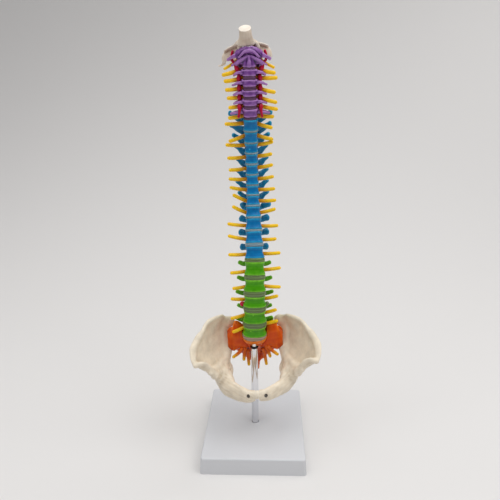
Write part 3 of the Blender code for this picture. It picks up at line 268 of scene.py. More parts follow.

# %% [markdown]
# ## Grained plastic, and the ring's black
# The base is white ABS from a spark-eroded mould, whose fine grain dulls the reflections. One noise
# drives both a small bump and the roughness, so that the two agree. The black ring on the rod has the same
# kind of skin, and its black is a painted reflection of the dark band at the chrome end.

# %% Mix the base's plastic and the ring's black
def grained(name, colour, roughness, grain_size, grain_depth):
    """ABS from a mould with a spark-eroded grain, or the black of the ring."""
    finish, tree, shader = new_finish(name, {"Base Color": linear(colour), "IOR": 1.53})
    place = add_node(tree, "ShaderNodeTexCoord").outputs["Object"]
    grain = add_node(tree, "ShaderNodeTexNoise", inputs={"Vector": place, "Scale": per_metre(grain_size),
                                                         "Detail": 3.0})
    dull = add_node(tree, "ShaderNodeMapRange", inputs={"Value": grain.outputs["Fac"],
                                                        "To Min": roughness - 0.08,
                                                        "To Max": roughness + 0.1})
    tree.links.new(dull.outputs["Result"], shader.inputs["Roughness"])
    bump = add_node(tree, "ShaderNodeBump", inputs={"Height": grain.outputs["Fac"], "Strength": 0.5,
                                                    "Distance": grain_depth * MM})
    tree.links.new(bump.outputs["Normal"], shader.inputs["Normal"])
    return finish


base_abs = grained("moulded_abs_white", "#D2D3D6", 0.5, 0.9, 0.05)
# The ring's black is a painted reflection: it stands for the dark band that the chrome end reflects.
ring_painted_reflection = grained("moulded_rubber_black", "#141414", 0.55, 0.6, 0.03)
print("finishes in all:", len(bpy.data.materials))

# %% [markdown]
# ## Shapes that flow into each other
# Bone has no flat plates or straight edges: every wing, pillar and spine grows out of the next. It could
# be pulled out of a coarse cage, but then every wing needs its own loops of faces. The way used here is
# that of a sculptor with clay: bars and lumps are laid over each other, and one skin fuses them later. A
# bar has round ends and follows a smooth curve through a few chosen points.

# %% Bars and lumps
def smooth_rows(rows, steps):
    """Rows of numbers on a smooth curve through the given rows, which it keeps."""
    rows = [list(row) for row in rows]
    first = [2 * a - b for a, b in zip(rows[0], rows[1])]
    last = [2 * a - b for a, b in zip(rows[-1], rows[-2])]
    padded = [first] + rows + [last]
    curve = []
    for a, b, c, d in zip(padded, padded[1:], padded[2:], padded[3:]):
        for k in range(steps):
            t = k / steps
            curve.append([0.5 * (2 * q + (r - p) * t + (2 * p - 5 * q + 4 * r - s) * t * t
                                 + (3 * q - p - 3 * r + s) * t ** 3) for p, q, r, s in zip(a, b, c, d)])
    return curve + [rows[-1]]


def loft(bm, rings):
    """Closed solid through rings of as many points each, with a face at each end."""
    rows = [[bm.verts.new(point) for point in ring] for ring in rings]
    count = len(rows[0])
    for low, high in zip(rows, rows[1:]):
        for k in range(count):
            after = (k + 1) % count
            bm.faces.new((low[k], low[after], high[after], high[k]))
    bm.faces.new(list(reversed(rows[0])))
    bm.faces.new(rows[-1])


END_TURNS = (75, 50, 25)        # degrees at which a bar's rounded end has a ring


def bar(bm, points, radii, across=(1, 0, 0), sides=14, steps=4):
    """Round-ended bar of oval section along a smooth curve. A radius is (across, other way)."""
    rows = smooth_rows([(*point, *radius) for point, radius in zip(points, radii)], steps)
    centres = [Vector(row[:3]) for row in rows]
    shapes = []
    for i, centre in enumerate(centres):
        along = (centres[min(i + 1, len(rows) - 1)] - centres[max(i - 1, 0)]).normalized()
        side = Vector(across)
        side = (side - along * side.dot(along)).normalized()
        wide, thick = rows[i][3:]
        ends = []
        if i == 0:
            ends = [(-math.sin(math.radians(a)), math.cos(math.radians(a))) for a in END_TURNS]
        ends.append((0, 1))
        if i == len(rows) - 1:
            ends += [(math.sin(math.radians(a)), math.cos(math.radians(a))) for a in reversed(END_TURNS)]
        for shift, share in ends:
            shapes.append((centre + along * shift * min(wide, thick), side, along.cross(side), wide * share,
                           thick * share))
    turns = [2 * math.pi * k / sides for k in range(sides)]
    loft(bm, [[middle + side * wide * math.cos(a) + up * thick * math.sin(a) for a in turns]
              for middle, side, up, wide, thick in shapes])


def lump(bm, centre, radii):
    """Rounded lump with three half-sizes."""
    place = Matrix.Translation(centre) @ Matrix.Diagonal((*radii, 1))
    bmesh.ops.create_icosphere(bm, subdivisions=3, radius=1.0, matrix=place)


clay = bmesh.new()
bar(clay, [(0, 0, 0), (0, 0, 10)], [(2, 1), (1, 1)])
print("a bar between two points has", len(clay.faces), "faces")
clay.free()

# %% [markdown]
# ## One skin over many shapes
# A Boolean union of dozens of bars is slow and leaves a sharp seam round each. A voxel remesh lays one
# even skin over all of them at once, as if they were dipped in wax, and smoothing takes off its steps.
# What has to stay crisp, such as a flat seat or the hole of a screw, is cut afterwards.

# %% The skin and the cuts in it
def mesh_of(bm):
    """Plain mesh with its faces turned outwards. The bmesh it comes from is freed."""
    bmesh.ops.recalc_face_normals(bm, faces=bm.faces)
    mesh = bpy.data.meshes.new("shape")
    bm.to_mesh(mesh)
    bm.free()
    return mesh


def with_modifiers(mesh, *settings):
    """Applies modifiers, each given as (type, values), and returns the new mesh."""
    holder = bpy.data.objects.new("holder", mesh)
    bpy.context.scene.collection.objects.link(holder)
    for kind, values in settings:
        modifier = holder.modifiers.new(kind.lower(), kind)
        for key, value in values.items():
            setattr(modifier, key, value)
    graph = bpy.context.evaluated_depsgraph_get()
    result = bpy.data.meshes.new_from_object(holder.evaluated_get(graph))
    bpy.data.objects.remove(holder, do_unlink=True)
    return result


def combine(first, second, operation):
    """Boolean of two closed meshes. This solver is quick, and asks only that both are closed."""
    tool = bpy.data.objects.new("tool", second)
    bpy.context.scene.collection.objects.link(tool)
    settings = {"operation": operation, "solver": "MANIFOLD", "object": tool}
    result = with_modifiers(first, ("BOOLEAN", settings))
    bpy.data.objects.remove(tool, do_unlink=True)
    return result


def fused(bm, grain, smooth, cuts=()):
    """One smooth skin over overlapping shapes, with the cuts taken before the last smoothing."""
    skin = with_modifiers(mesh_of(bm), ("REMESH", {"mode": "VOXEL", "voxel_size": grain}))
    for cut in cuts:
        skin = combine(skin, cut, "DIFFERENCE")
    if cuts:
        skin = with_modifiers(skin, ("REMESH", {"mode": "VOXEL", "voxel_size": grain}))
    return with_modifiers(skin, ("SMOOTH", {"iterations": smooth, "factor": 0.5}))


clay = bmesh.new()
bar(clay, [(0, 0, 0), (0, 0, 10)], [(2, 1), (1, 1)])
print("under a skin it has", len(fused(clay, 0.5, 3).polygons), "faces")

# %% [markdown]
# ## A surface finished by hand
# The moulds of such a model are taken from shapes that were finished by hand, so no face is quite even.
# Slow noise pushes each point along its normal by less than a millimetre. It is real form and not only a
# bump, so it shows in the outline too. A mesh can also be turned over, for the other side of a pair.

# %% Uneven skins and mirror images
def pushed(mesh, push):
    """Moves each point along its normal, by what push says for its place."""
    spots = [vertex.co.copy() for vertex in mesh.vertices]
    normals = [normal.vector.copy() for normal in mesh.vertex_normals]
    moved = [spot + normal * push(spot) for spot, normal in zip(spots, normals)]
    mesh.vertices.foreach_set("co", [value for spot in moved for value in spot])
    mesh.update()
    return mesh


def uneven(mesh, size, depth, seed):
    """Slow waves in the skin, as on a mould finished by hand."""
    shift = Vector((seed * 7.3, seed * 3.1, seed * 5.7))
    return pushed(mesh, lambda spot: depth * noise.noise(spot / size + shift))


def turned_over(mesh):
    """Mirror image of a mesh, for the other side."""
    other = mesh.copy()
    other.transform(Matrix.Diagonal((-1, 1, 1, 1)))
    other.flip_normals()
    return other


print("slow noise at one spot is", round(noise.noise(Vector((0.5, 0.5, 0.5))), 3))

# %% [markdown]
# ## Straight shapes, and handing a piece over
# Boxes and cylinders cut the seats and holes, and make the few parts that are straight. Every finished
# mesh is put in its place and scaled to metres once, in its points, so that its object stays at the
# origin. The frame is then told what it rides on and which plain solids it stands for.

# %% Boxes, cylinders and finished pieces
def box(low, high):
    """Box between its lowest and its highest corner."""
    low, high = Vector(low), Vector(high)
    bm = bmesh.new()
    place = Matrix.Translation((low + high) / 2) @ Matrix.Diagonal((*(high - low), 1))
    bmesh.ops.create_cube(bm, size=1.0, matrix=place)
    return mesh_of(bm)


def cylinder(radius, low, high, sides, place=Matrix()):
    """Upright cylinder between two heights, then moved by its place."""
    bm = bmesh.new()
    middle = Matrix.Translation((0, 0, (low + high) / 2))
    bmesh.ops.create_cone(bm, cap_ends=True, segments=sides, radius1=radius, radius2=radius, depth=high - low,
                          matrix=place @ middle)
    return mesh_of(bm)


def add_piece(name, mesh, finish, replaced=(), place=Matrix(), sharp=60.0):
    """Puts a finished mesh in its place and tells the frame what it stands for."""
    mesh.transform(Matrix.Scale(MM, 4) @ place)
    mesh.materials.clear()
    mesh.materials.append(finish)
    mesh.shade_smooth()
    mesh.set_sharp_from_angle(angle=math.radians(sharp))
    mesh.calc_loop_triangles()
    print(name, "has", len(mesh.loop_triangles), "triangles")
    piece = bpy.data.objects.new(name, mesh)
    bpy.context.scene.collection.objects.link(piece)
    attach(piece, "root")
    if replaced:
        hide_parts(*replaced)


print("a box of 2 by 3 by 4 has", len(box((0, 0, 0), (2, 3, 4)).polygons), "faces")

# %% [markdown]
# ## Sizes of the column
# A spine is a stack: each body sits on the disc below it and leans as the curve of the back asks. Every
# place could be measured by itself, but then one change would move one vertebra alone. So one table holds
# the height, disc and lean of each, and the places are worked out from it.

# %% Sizes of each vertebra and each region
SACRUM_TOP = (-0.4, 1.6, 130.6)
SACRAL_SLOPE = -27.0            # degrees, leaning forward
SACRUM_TOP_WIDTH = 27.0
SACRUM_TOP_DEPTH = 17.0
SACRUM_HALF_WIDTH = 31.6
PELVIS_ROLL = 1.3               # degrees the pelvis dips to its right
SEAT_GAP = 0.3
FACET_GAP = 0.9

# Body width, depth and height, the disc under it, its lean in degrees, and the reach of its wings
Vertebra = namedtuple("Vertebra", "name width depth height disc lean reach")
VERTEBRAE = [
    Vertebra("L5", 27.0, 17.0, 12.4, 4.0, -13.0, 20.2),
    Vertebra("L4", 26.4, 17.0, 13.6, 5.6, -6.0, 18.6),
    Vertebra("L3", 25.6, 16.6, 12.2, 5.4, 0.0, 20.0),
    Vertebra("L2", 24.2, 16.4, 13.2, 5.2, 6.0, 18.4),
    Vertebra("L1", 23.0, 16.0, 14.2, 4.4, 11.0, 17.0),
    Vertebra("T12", 21.4, 15.4, 12.2, 3.8, 15.0, 14.4),
    Vertebra("T11", 19.6, 15.0, 12.0, 3.8, 18.0, 15.4),
    Vertebra("T10", 18.6, 14.4, 11.2, 2.7, 17.0, 15.2),
    Vertebra("T9", 17.0, 14.0, 10.2, 2.4, 15.0, 15.0),
    Vertebra("T8", 15.2, 13.4, 9.0, 2.4, 12.0, 14.8),
    Vertebra("T7", 14.4, 13.0, 8.4, 2.4, 8.0, 15.8),
    Vertebra("T6", 14.0, 13.0, 9.2, 2.2, 3.0, 15.7),
    Vertebra("T5", 13.6, 12.4, 9.0, 2.2, -3.0, 15.9),
    Vertebra("T4", 13.6, 12.0, 9.3, 2.6, -7.0, 15.8),
    Vertebra("T3", 13.8, 11.6, 8.8, 2.1, -10.0, 17.8),
    Vertebra("T2", 14.4, 11.2, 10.2, 2.0, -13.0, 19.6),
    Vertebra("T1", 15.4, 11.0, 10.6, 2.1, -15.0, 20.3),
    Vertebra("C7", 15.8, 10.6, 7.8, 2.7, -14.0, 19.4),
    Vertebra("C6", 15.2, 10.0, 5.6, 3.2, -11.0, 16.4),
    Vertebra("C5", 14.8, 9.6, 5.6, 3.2, -7.0, 16.2),
    Vertebra("C4", 14.6, 9.5, 6.2, 3.5, -3.0, 16.8),
    Vertebra("C3", 14.4, 9.4, 6.0, 3.2, 0.0, 15.4),
    Vertebra("C2", 14.0, 9.4, 8.0, 2.2, 1.0, 17.0),
]
# Canal, cord, nerve exits and bodies of each region. The exit is how far out a nerve is free of the arch,
# and the slack is how far it may be off the exit's middle there. The sway is in degrees to the left,
# going up. The top is the width of a body's upper rim against its lower one.
Region = namedtuple("Region", "canal_half canal_depth cord nerve_rise exit slack sway top")
REGIONS = {
    "C": Region(5.4, 7.9, 2.3, 0.6, 8.0, 0.4, -0.6, 0.97),
    "T": Region(4.4, 7.4, 2.2, 5.5, 7.4, 0.5, -0.9, 0.88),
    "L": Region(5.6, 8.0, 2.3, 5.0, 9.4, 0.7, 0.9, 0.91),
}
print("bodies and discs add up to", round(sum(item.height + item.disc for item in VERTEBRAE), 1), "mm")

# %% [markdown]
# ## The stack
# A place is a matrix that carries a vertebra's own coordinates to the model's. With it, each vertebra is
# modelled upright about its own middle, and only its place knows where it stands. The plane in the middle
# of each disc is kept too, because the vertebrae on both sides of it are made to meet there.

# %% Stack the vertebrae
def sacrum_top():
    """Place of the seat that the lowest disc stands on."""
    return Matrix.Translation(SACRUM_TOP) @ Matrix.Rotation(math.radians(-SACRAL_SLOPE), 4, "X")


def pelvis_place():
    """The dip of the sacrum and the hips, about the seat's height."""
    middle = Matrix.Translation((0, 0, SACRUM_TOP[2]))
    return middle @ Matrix.Rotation(math.radians(-PELVIS_ROLL), 4, "Y") @ middle.inverted()


def stack():
    """Place of each body, from L5 up to C2."""
    found = {}
    top = pelvis_place() @ sacrum_top()
    for vertebra in VERTEBRAE:
        sway = math.radians(REGIONS[vertebra.name[0]].sway)
        lean = Matrix.Rotation(sway, 4, "Y") @ Matrix.Rotation(math.radians(-vertebra.lean), 4, "X")
        between = (top.to_3x3().col[2] + lean.to_3x3().col[2]).normalized()
        seat = top.translation + between * vertebra.disc
        place = Matrix.Translation(seat) @ lean @ Matrix.Translation((0, 0, vertebra.height / 2))
        found[vertebra.name] = place
        top = place @ Matrix.Translation((0, 0, vertebra.height / 2))
    return found


def disc_planes():
    """Middle of each disc: name of the vertebra above it to (point, normal)."""
    found = {}
    low_top = (pelvis_place() @ sacrum_top()).translation
    low_up = (pelvis_place() @ sacrum_top()).to_3x3().col[2]
    for vertebra in VERTEBRAE:
        place = places[vertebra.name]
        up = place.to_3x3() @ Vector((0, 0, 1))
        bottom = place @ Vector((0, 0, -vertebra.height / 2))
        found[vertebra.name] = ((low_top + bottom) / 2, (low_up + up).normalized())
        low_top = place @ Vector((0, 0, vertebra.height / 2))
        low_up = up
    return found


def height_at(place, plane, x, y):
    """Local height at which a line through local (x, y) meets a disc's middle plane."""
    inverse = place.inverted()
    point = inverse @ plane[0]
    normal = inverse.to_3x3() @ plane[1]
    return point.z - (normal.x * (x - point.x) + normal.y * (y - point.y)) / normal.z


places = stack()
planes = disc_planes()
low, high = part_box("vertebra_T6")
print("T6 stands at", [round(v, 1) for v in places["T6"].translation], "in a solid from",
      [round(v / MM, 1) for v in low], "to", [round(v / MM, 1) for v in high])

# %% [markdown]
# ## Vertebral bodies
# A body is a short drum, narrow at its waist and flared at its rims, with a slightly hollow back. Its
# lower rim flares out over the disc. A turned shape would be round, so this is a loft: the outline is one
# formula, and the rings follow a short profile.

# %% Shape of a body
BODY_SIDES = 40
# Height up the body as a share of its half, and width as a share of its full width
BODY_PROFILE = ((-1.0, 0.96), (-0.93, 1.0), (-0.8, 0.995), (-0.5, 0.93), (-0.1, 0.88), (0.35, 0.89),
                (0.75, 0.985), (0.92, 1.0), (1.0, 0.96))
NECK_PROFILE = ((-1.0, 0.84), (-0.8, 0.9), (-0.3, 0.88), (0.3, 0.9), (0.8, 0.97), (1.0, 0.9))


def oval(width, depth):
    """Outline of a body seen from above, with its slightly hollow back towards +Y."""
    points = []
    for k in range(BODY_SIDES):
        a = 2 * math.pi * (k + 0.5) / BODY_SIDES
        x = width / 2 * math.copysign(abs(math.sin(a)) ** 0.85, math.sin(a))
        y = -depth / 2 * math.copysign(abs(math.cos(a)) ** 0.85, math.cos(a))
        if y > 0:
            y -= 0.09 * depth * math.exp(-(x / (0.3 * width)) ** 2)
        points.append((x, y))
    return points


def top_share(vertebra):
    """Upper rim's width against the lower rim's."""
    if vertebra.name in ("T1", "T2", "T3", "T4", "L5"):
        return 0.97
    return REGIONS[vertebra.name[0]].top


def body(bm, vertebra):
    """Drum of one vertebra about its own middle."""
    outline = oval(vertebra.width, vertebra.depth)
    rings = []
    for level, share in NECK_PROFILE if vertebra.name[0] == "C" else BODY_PROFILE:
        flare = share * (1 + (top_share(vertebra) - 1) * (level + 1) / 2)
        rings.append([Vector((x * flare, y * share, vertebra.height / 2 * level)) for x, y in outline])
    loft(bm, rings)


print("a body has", len(BODY_PROFILE), "rings, and one in the neck has", len(NECK_PROFILE))

# %% [markdown]
# ## Arch of a neck vertebra
# Behind each body an arch closes the canal. In the neck its wings are short and forked, with a hole for
# the artery between the two branches, and the spine behind is split at its end. The joint pillars reach
# to the middle plane of the disc above and of the disc below, so that neighbours meet there whatever
# their lean.

# %% Neck arch
def neck_arch(bm, vertebra, up, down):
    """Arch of C2 to C7. Up and down give the heights at which it meets its neighbours."""
    region = REGIONS["C"]
    back = vertebra.depth / 2 + region.canal_depth
    pillar_y = back - 2.6
    top = vertebra.height / 2
    for side in (1, -1):
        tip = (side * vertebra.reach, 3.6, -1.8)
        pillar = (side * 8.6, pillar_y, 0)
        bar(bm, [(side * 5.6, 2.4, 0), (side * 7.6, 4.6, 0.2), pillar], [(1.6, 1.9)] * 3)
        bar(bm, [(side * 5.0, -0.4, 0.4), (side * 8.6, -0.2, 0.6), (side * 12.4, 0.8, 0.1), tip],
            [(1.6, 2.2), (1.4, 1.7), (1.2, 1.4), (1.0, 1.2)], across=(0, 1, 0))
        bar(bm, [pillar, (side * 12.0, 6.4, -0.2), tip], [(1.8, 1.8), (1.4, 1.5), (1.0, 1.2)],
            across=(0, 1, 0))
        bar(bm, [(side * 7.0, 3.6, -0.5), (side * 13.0, 3.6, -1.2)], [(2.2, 0.8)] * 2, across=(0, 1, 0))
        bar(bm, [(side * 6.4, -1.6, top - 0.8), (side * 6.9, 0.6, top), (side * 6.4, 2.6, top - 0.6)],
            [(0.9, 0.9)] * 3)
        high = up(side * 8.6, pillar_y) - FACET_GAP / 2 - 0.8
        low = down(side * 8.6, pillar_y) + FACET_GAP / 2 + 0.8
        bar(bm, [(side * 8.6, pillar_y, low), (side * 8.6, pillar_y, high)], [(2.3, 2.1)] * 2)
        bar(bm, [pillar, (side * 5.6, back + 0.6, -0.6), (0, back + 2.6, -1.2)],
            [(1.3, 2.3), (1.2, 2.2), (1.4, 2.0)], across=(0, 1, 0))
    reach = 21.0 if vertebra.name == "C7" else 15.6
    bar(bm, [(0, back + 1.6, -1.0), (0, reach - 1.0, -2.4)], [(1.3, 1.9), (1.1, 1.5)])
    for side in (1, -1):
        bar(bm, [(0, reach - 2.0, -2.2), (side * 1.6, reach + 2.6, -4.0)], [(1.0, 1.3), (0.9, 1.0)])


print("neck arches to make:", sum(item.name[0] == "C" for item in VERTEBRAE))

# %% [markdown]
# ## Arch of a chest vertebra
# The chest's wings sweep up and back like the arms of a coat hanger, and its spines slope down over each
# other. The four lowest wings end in round knobs, and the others in a tip with a web under it. A table
# holds how high each tip stands, because the photograph shows the tips beside the bodies and little else
# of the arches.

# %% Chest arch
CHEST_TIP_RISE = {"T12": 5.4, "T11": 6.8, "T10": 7.6, "T9": 9.0, "T2": 7.6, "T1": 6.6}
CHEST_TIP_RISE_REST = 8.8
ROUND_TIPS = ("T9", "T10", "T11", "T12")
CHEST_TIP_SHIFT = {"T9": 3.2, "T10": 1.0, "T8": 0.8}    # how far both tips are off to the left


def chest_arch(bm, vertebra, up, down):
    """Arch of T1 to T12, with its wings swept up and back."""
    region = REGIONS["T"]
    front = vertebra.depth / 2
    back = front + region.canal_depth
    side_x = region.canal_half + 1.5
    low_chest = vertebra.name in ("T11", "T12")
    for side in (1, -1):
        rise = vertebra.height / 2 - (2.6 if vertebra.name == "T1" else 0.8)
        pedicle = (side * (side_x - 1.2), front - 4.6, rise - 0.4)
        corner = (side * side_x, back - 2.2, rise)
        bar(bm, [pedicle, (side * side_x, front + 0.4, rise), corner], [(1.5, 1.6)] * 3)
        tip_rise = CHEST_TIP_RISE.get(vertebra.name, CHEST_TIP_RISE_REST)
        shift = CHEST_TIP_SHIFT.get(vertebra.name, 0.0)
        tip = Vector((side * vertebra.reach + shift, back + 2.6, tip_rise))
        middle = Vector((side * (side_x + vertebra.reach) / 2, back + 1.0, (rise + tip_rise) / 2 - 0.8))
        bar(bm, [corner, middle, tip], [(1.8, 3.0), (1.7, 2.7), (1.8, 2.4)], across=(0, 1, 0))
        if vertebra.name in ROUND_TIPS:
            bar(bm, [middle + Vector((0, 0, 0.8)), tip - Vector((side, 0, 0))], [(2.2, 3.4), (2.6, 4.0)],
                across=(0, 1, 0))
        else:
            web = 1.3 if vertebra.name in ("T1", "T2") else 1.0
            bar(bm, [(side * (side_x - 0.4), back - 0.6, rise - 4.2), middle - Vector((0, 0, 1.6)),
                     tip - Vector((side * 1.6, 0, 0.8 * web))],
                [(1.8, 3.0 * web), (1.7, 2.6 * web), (1.6, 1.9 * web)], across=(0, 1, 0))
            lump(bm, tip + Vector((side * 0.4, 0, 0.2)), (2.3, 2.1, 2.4 * web))
        high = up(side * side_x, back - 2.4) + (0.7 if vertebra.name != "T1" else -FACET_GAP / 2)
        bar(bm, [corner, (side * side_x, back - 2.6, high - 0.6)], [(1.7, 1.2), (1.6, 0.9)])
        low = down(side * side_x, back)
        bar(bm, [(side * (side_x - 0.4), back + 0.4, 0.6), (side * (side_x - 0.4), back + 0.9, low - 0.6)],
            [(1.7, 1.3), (1.6, 0.9)])
        bar(bm, [corner, (side * 3.4, back + 0.8, 0), (0, back + 2.4, -0.8)],
            [(1.3, 2.8), (1.1, 3.2), (1.3, 2.8)], across=(0, 1, 0))
    long_back, drop = (10.0, -3.5) if low_chest else (12.0, -9.0)
    bar(bm, [(0, back + 1.4, -0.4), (0, back + long_back / 2, drop * 0.55),
             (0, back + long_back - 1.0, drop)],
        [(1.3, 2.8), (1.0, 2.0), (1.2, 1.5)])


print("chest arches to make:", sum(item.name[0] == "T" for item in VERTEBRAE))

# %% [markdown]
# ## Arch of a loin vertebra
# The loin's wings are flat and its spines are hatchets. Its joint faces stand side by side: the upper
# pair of each vertebra clasps the lower pair of the next one from outside, so the two pairs are made at
# different widths.

# %% Loin arch
def loin_arch(bm, vertebra, up, down):
    """Arch of L1 to L5, with flat wings and a hatchet of a spine."""
    region = REGIONS["L"]
    front = vertebra.depth / 2
    back = front + region.canal_depth
    side_x = region.canal_half + 1.9
    for side in (1, -1):
        rise = vertebra.height / 2 - 3.4
        pedicle = (side * (side_x - 0.8), front - 5.0, rise)
        corner = (side * side_x, back - 3.0, rise)
        bar(bm, [pedicle, (side * side_x, front + 0.4, rise), corner], [(1.9, 2.6)] * 3)
        big = 1.35 if vertebra.name == "L5" else 1.0
        tip = (side * vertebra.reach, back - 1.6, 4.4)
        bar(bm, [corner, (side * (side_x + vertebra.reach) / 2, back - 2.2, 3.6 - big), tip],
            [(1.8, 3.2 * big), (1.5, 2.8 * big), (1.3, 2.3 * big)], across=(0, 1, 0))
        outer_x = side_x + 1.4
        high = up(side * outer_x, back - 1.4)
        bar(bm, [corner, (side * outer_x, back - 1.8, high - 0.5), (side * outer_x, back - 1.4, high + 1.4)],
            [(2.0, 1.9), (1.7, 1.9), (1.4, 1.6)])
        lump(bm, (side * (outer_x + 0.6), back - 0.6, high - 1.0), (1.6, 2.4, 2.0))
        inner_x = outer_x - 4.0
        low = down(side * inner_x, back)
        bar(bm, [(side * (inner_x + 0.2), back + 1.2, 0), (side * inner_x, back + 0.2, low + 0.5),
                 (side * inner_x, back - 0.4, low - 1.4)],
            [(1.6, 1.7), (1.5, 1.8), (1.3, 1.4)])
        bar(bm, [corner, (side * 4.6, back + 0.4, 0), (0, back + 2.8, -1.0)],
            [(1.5, 3.2), (1.4, 3.6), (1.5, 3.4)], across=(0, 1, 0))
    bar(bm, [(0, back + 1.6, -1.0), (0, back + 5.6, -1.8), (0, back + 8.4, -2.2)],
        [(1.3, 3.0), (1.0, 3.6), (1.4, 3.7)])


print("loin arches to make:", sum(item.name[0] == "L" for item in VERTEBRAE))

# %% [markdown]
# ## Tooth and shoulders of the axis
# The axis, second from the top, has a tooth that the atlas turns on, and sloping shoulders that carry it.
# They are laid over the plain neck body before its skin is made, so that they flow out of it.

# %% Axis
def axis_extras(bm, vertebra):
    """What the axis has besides the body and arch of a neck vertebra."""
    half = vertebra.height / 2
    bar(bm, [(0, 0, 0), (0, -0.4, half + 2.0), (0, -0.2, half + 8.0), (0, 0.2, half + 9.6)],
        [(3.0, 2.9), (3.4, 2.4), (2.3, 2.2), (1.4, 1.4)])
    bar(bm, [(0, -3.8, -3.2), (0, -4.4, 0.8), (0, -3.6, 5.4)], [(2.6, 1.5), (1.7, 1.3), (1.5, 1.3)])
    bar(bm, [(-12.6, 2.6, -0.8), (-7.4, 0.2, 2.6), (0, -1.2, 5.2), (7.4, 0.2, 2.6), (12.6, 2.6, -0.8)],
        [(2.6, 2.0), (3.8, 2.6), (3.6, 2.8), (3.8, 2.6), (2.6, 2.0)], across=(0, 1, 0))
    for side in (1, -1):
        lump(bm, (side * 7.4, 3.0, 1.2), (3.6, 3.6, 2.6))


print("the axis is", VERTEBRAE[-1].width, "mm wide and its wings reach", VERTEBRAE[-1].reach, "mm")

# %% [markdown]
# ## Ring of the atlas
# The atlas has no body: it is a ring with two side masses and long drooping wings. Its front shows as
# folds one above the other, so it is laid up from a broad bar with a narrow one above it and another
# below it.

# %% Atlas
ATLAS_RISE = 11.4       # from the middle of the axis's body
ATLAS_REACH = 20.4
VERTEBRA_GRAIN = 0.5
WAVE_SIZE = 4.4         # across one wave of the uneven skin
ATLAS_WAVES = 0.4       # how deep its waves are


def atlas_mesh():
    """Ring, side masses and wings under one skin."""
    bm = bmesh.new()
    bar(bm, [(-11.6, 1.6, -4.6), (-6.0, -3.0, -1.6), (0, -5.0, -0.2), (6.0, -3.0, -1.6), (11.6, 1.6, -4.6)],
        [(1.6, 3.4), (1.5, 3.2), (1.6, 3.0), (1.5, 3.2), (1.6, 3.4)], across=(0, 1, 0))
    for side in (1, -1):
        bar(bm, [(0, -6.2, -0.6), (side * 4.6, -5.2, -2.0), (side * 9.4, -1.6, -6.2)],
            [(1.5, 1.7), (1.3, 1.4), (1.3, 1.2)], across=(0, 1, 0))
        bar(bm, [(side * 2.2, -4.6, 2.4), (side * 7.6, -1.6, 1.2), (side * 12.4, 2.4, -1.8)],
            [(1.3, 1.0), (1.2, 0.9), (1.3, 1.0)], across=(0, 1, 0))
    bar(bm, [(-8.8, 5.0, -1.0), (-8.6, 10.0, 0.0), (-4.6, 14.8, 0.4), (0, 16.2, 0.4),
             (4.6, 14.8, 0.4), (8.6, 10.0, 0.0), (8.8, 5.0, -1.0)],
        [(1.3, 1.7)] * 7, across=(0, 0.6, 1))
    for side in (1, -1):
        lump(bm, (side * 10.0, 3.0, -3.4), (3.8, 4.4, 4.8))
        lump(bm, (side * 6.2, 3.4, -3.2), (4.0, 3.8, 4.0))
        tip = (side * ATLAS_REACH, 3.2, -8.0)
        bar(bm, [(side * 10.0, 1.2, -3.6), (side * 15.8, 0.2, -5.6), tip],
            [(1.3, 2.4), (1.1, 1.9), (1.3, 1.6)], across=(0, 1, 0))
        bar(bm, [(side * 10.0, 6.4, -2.6), (side * 15.8, 7.4, -5.2), tip],
            [(1.3, 1.9), (1.1, 1.6), (1.3, 1.6)], across=(0, 1, 0))
    return uneven(fused(bm, VERTEBRA_GRAIN, 3), WAVE_SIZE, ATLAS_WAVES, 1)


print("the atlas is", 2 * ATLAS_REACH, "mm between the tips of its wings")

# %% [markdown]
# ## Every vertebra
# Body and arch are one moulding, so they go under one skin. The artery's holes are cut before the last
# smoothing, which softens their edges. One function makes every vertebra, and tables say which arch and
# which colour belong to its region.

# %% Make every vertebra
NECK_WAVES = 0.36       # how deep the waves are
LOWER_WAVES = 0.22
ARTERY_HOLE = 2.1
ARTERY_SIDE = 10.4
ARTERY_BACK = 3.4
AXIS_ARTERY_SIDE = 13.8
ATLAS_ARTERY_SIDE = 16.3
ARTERY_LEVELS = ("C2", "C3", "C4", "C5", "C6")
ARCHES = {"C": neck_arch, "T": chest_arch, "L": loin_arch}
VINYLS = {"C": (purple_vinyl, "purple_pvc"), "T": (blue_vinyl, "blue_pvc"), "L": (green_vinyl, "green_pvc")}


def vertebra_mesh(vertebra, above, seed):
    """Body and arch under one skin, with the artery's holes through the neck's wings."""
    place = places[vertebra.name]

    def down(x, y):
        """Local height of the middle of the disc below."""
        return height_at(place, planes[vertebra.name], x, y)

    def up(x, y):
        """Local height of the middle of the disc above, or a height of its own for the axis."""
        return vertebra.height / 2 - 2.0 if above is None else height_at(place, planes[above.name], x, y)

    bm = bmesh.new()
    body(bm, vertebra)
    ARCHES[vertebra.name[0]](bm, vertebra, up, down)
    if vertebra.name == "C2":
        axis_extras(bm, vertebra)
    cuts = []
    if vertebra.name in ARTERY_LEVELS:
        out = AXIS_ARTERY_SIDE if vertebra.name == "C2" else ARTERY_SIDE
        cuts = [cylinder(ARTERY_HOLE, -8, 8, 24, Matrix.Translation((side * out, ARTERY_BACK, 0)))
                for side in (1, -1)]
    waves = NECK_WAVES if vertebra.name[0] == "C" else LOWER_WAVES
    return uneven(fused(bm, VERTEBRA_GRAIN, 3, cuts), WAVE_SIZE, waves, seed)


for index, vertebra in enumerate(VERTEBRAE):
    above = VERTEBRAE[index + 1] if index + 1 < len(VERTEBRAE) else None
    finish, slot_name = VINYLS[vertebra.name[0]]
    add_piece("moulded_" + vertebra.name, vertebra_mesh(vertebra, above, index), finish,
              ["vertebra_" + vertebra.name], places[vertebra.name])
atlas_place = places["C2"] @ Matrix.Translation((0, 0, ATLAS_RISE))
add_piece("moulded_C1", atlas_mesh(), purple_vinyl, ["vertebra_C1"], atlas_place)

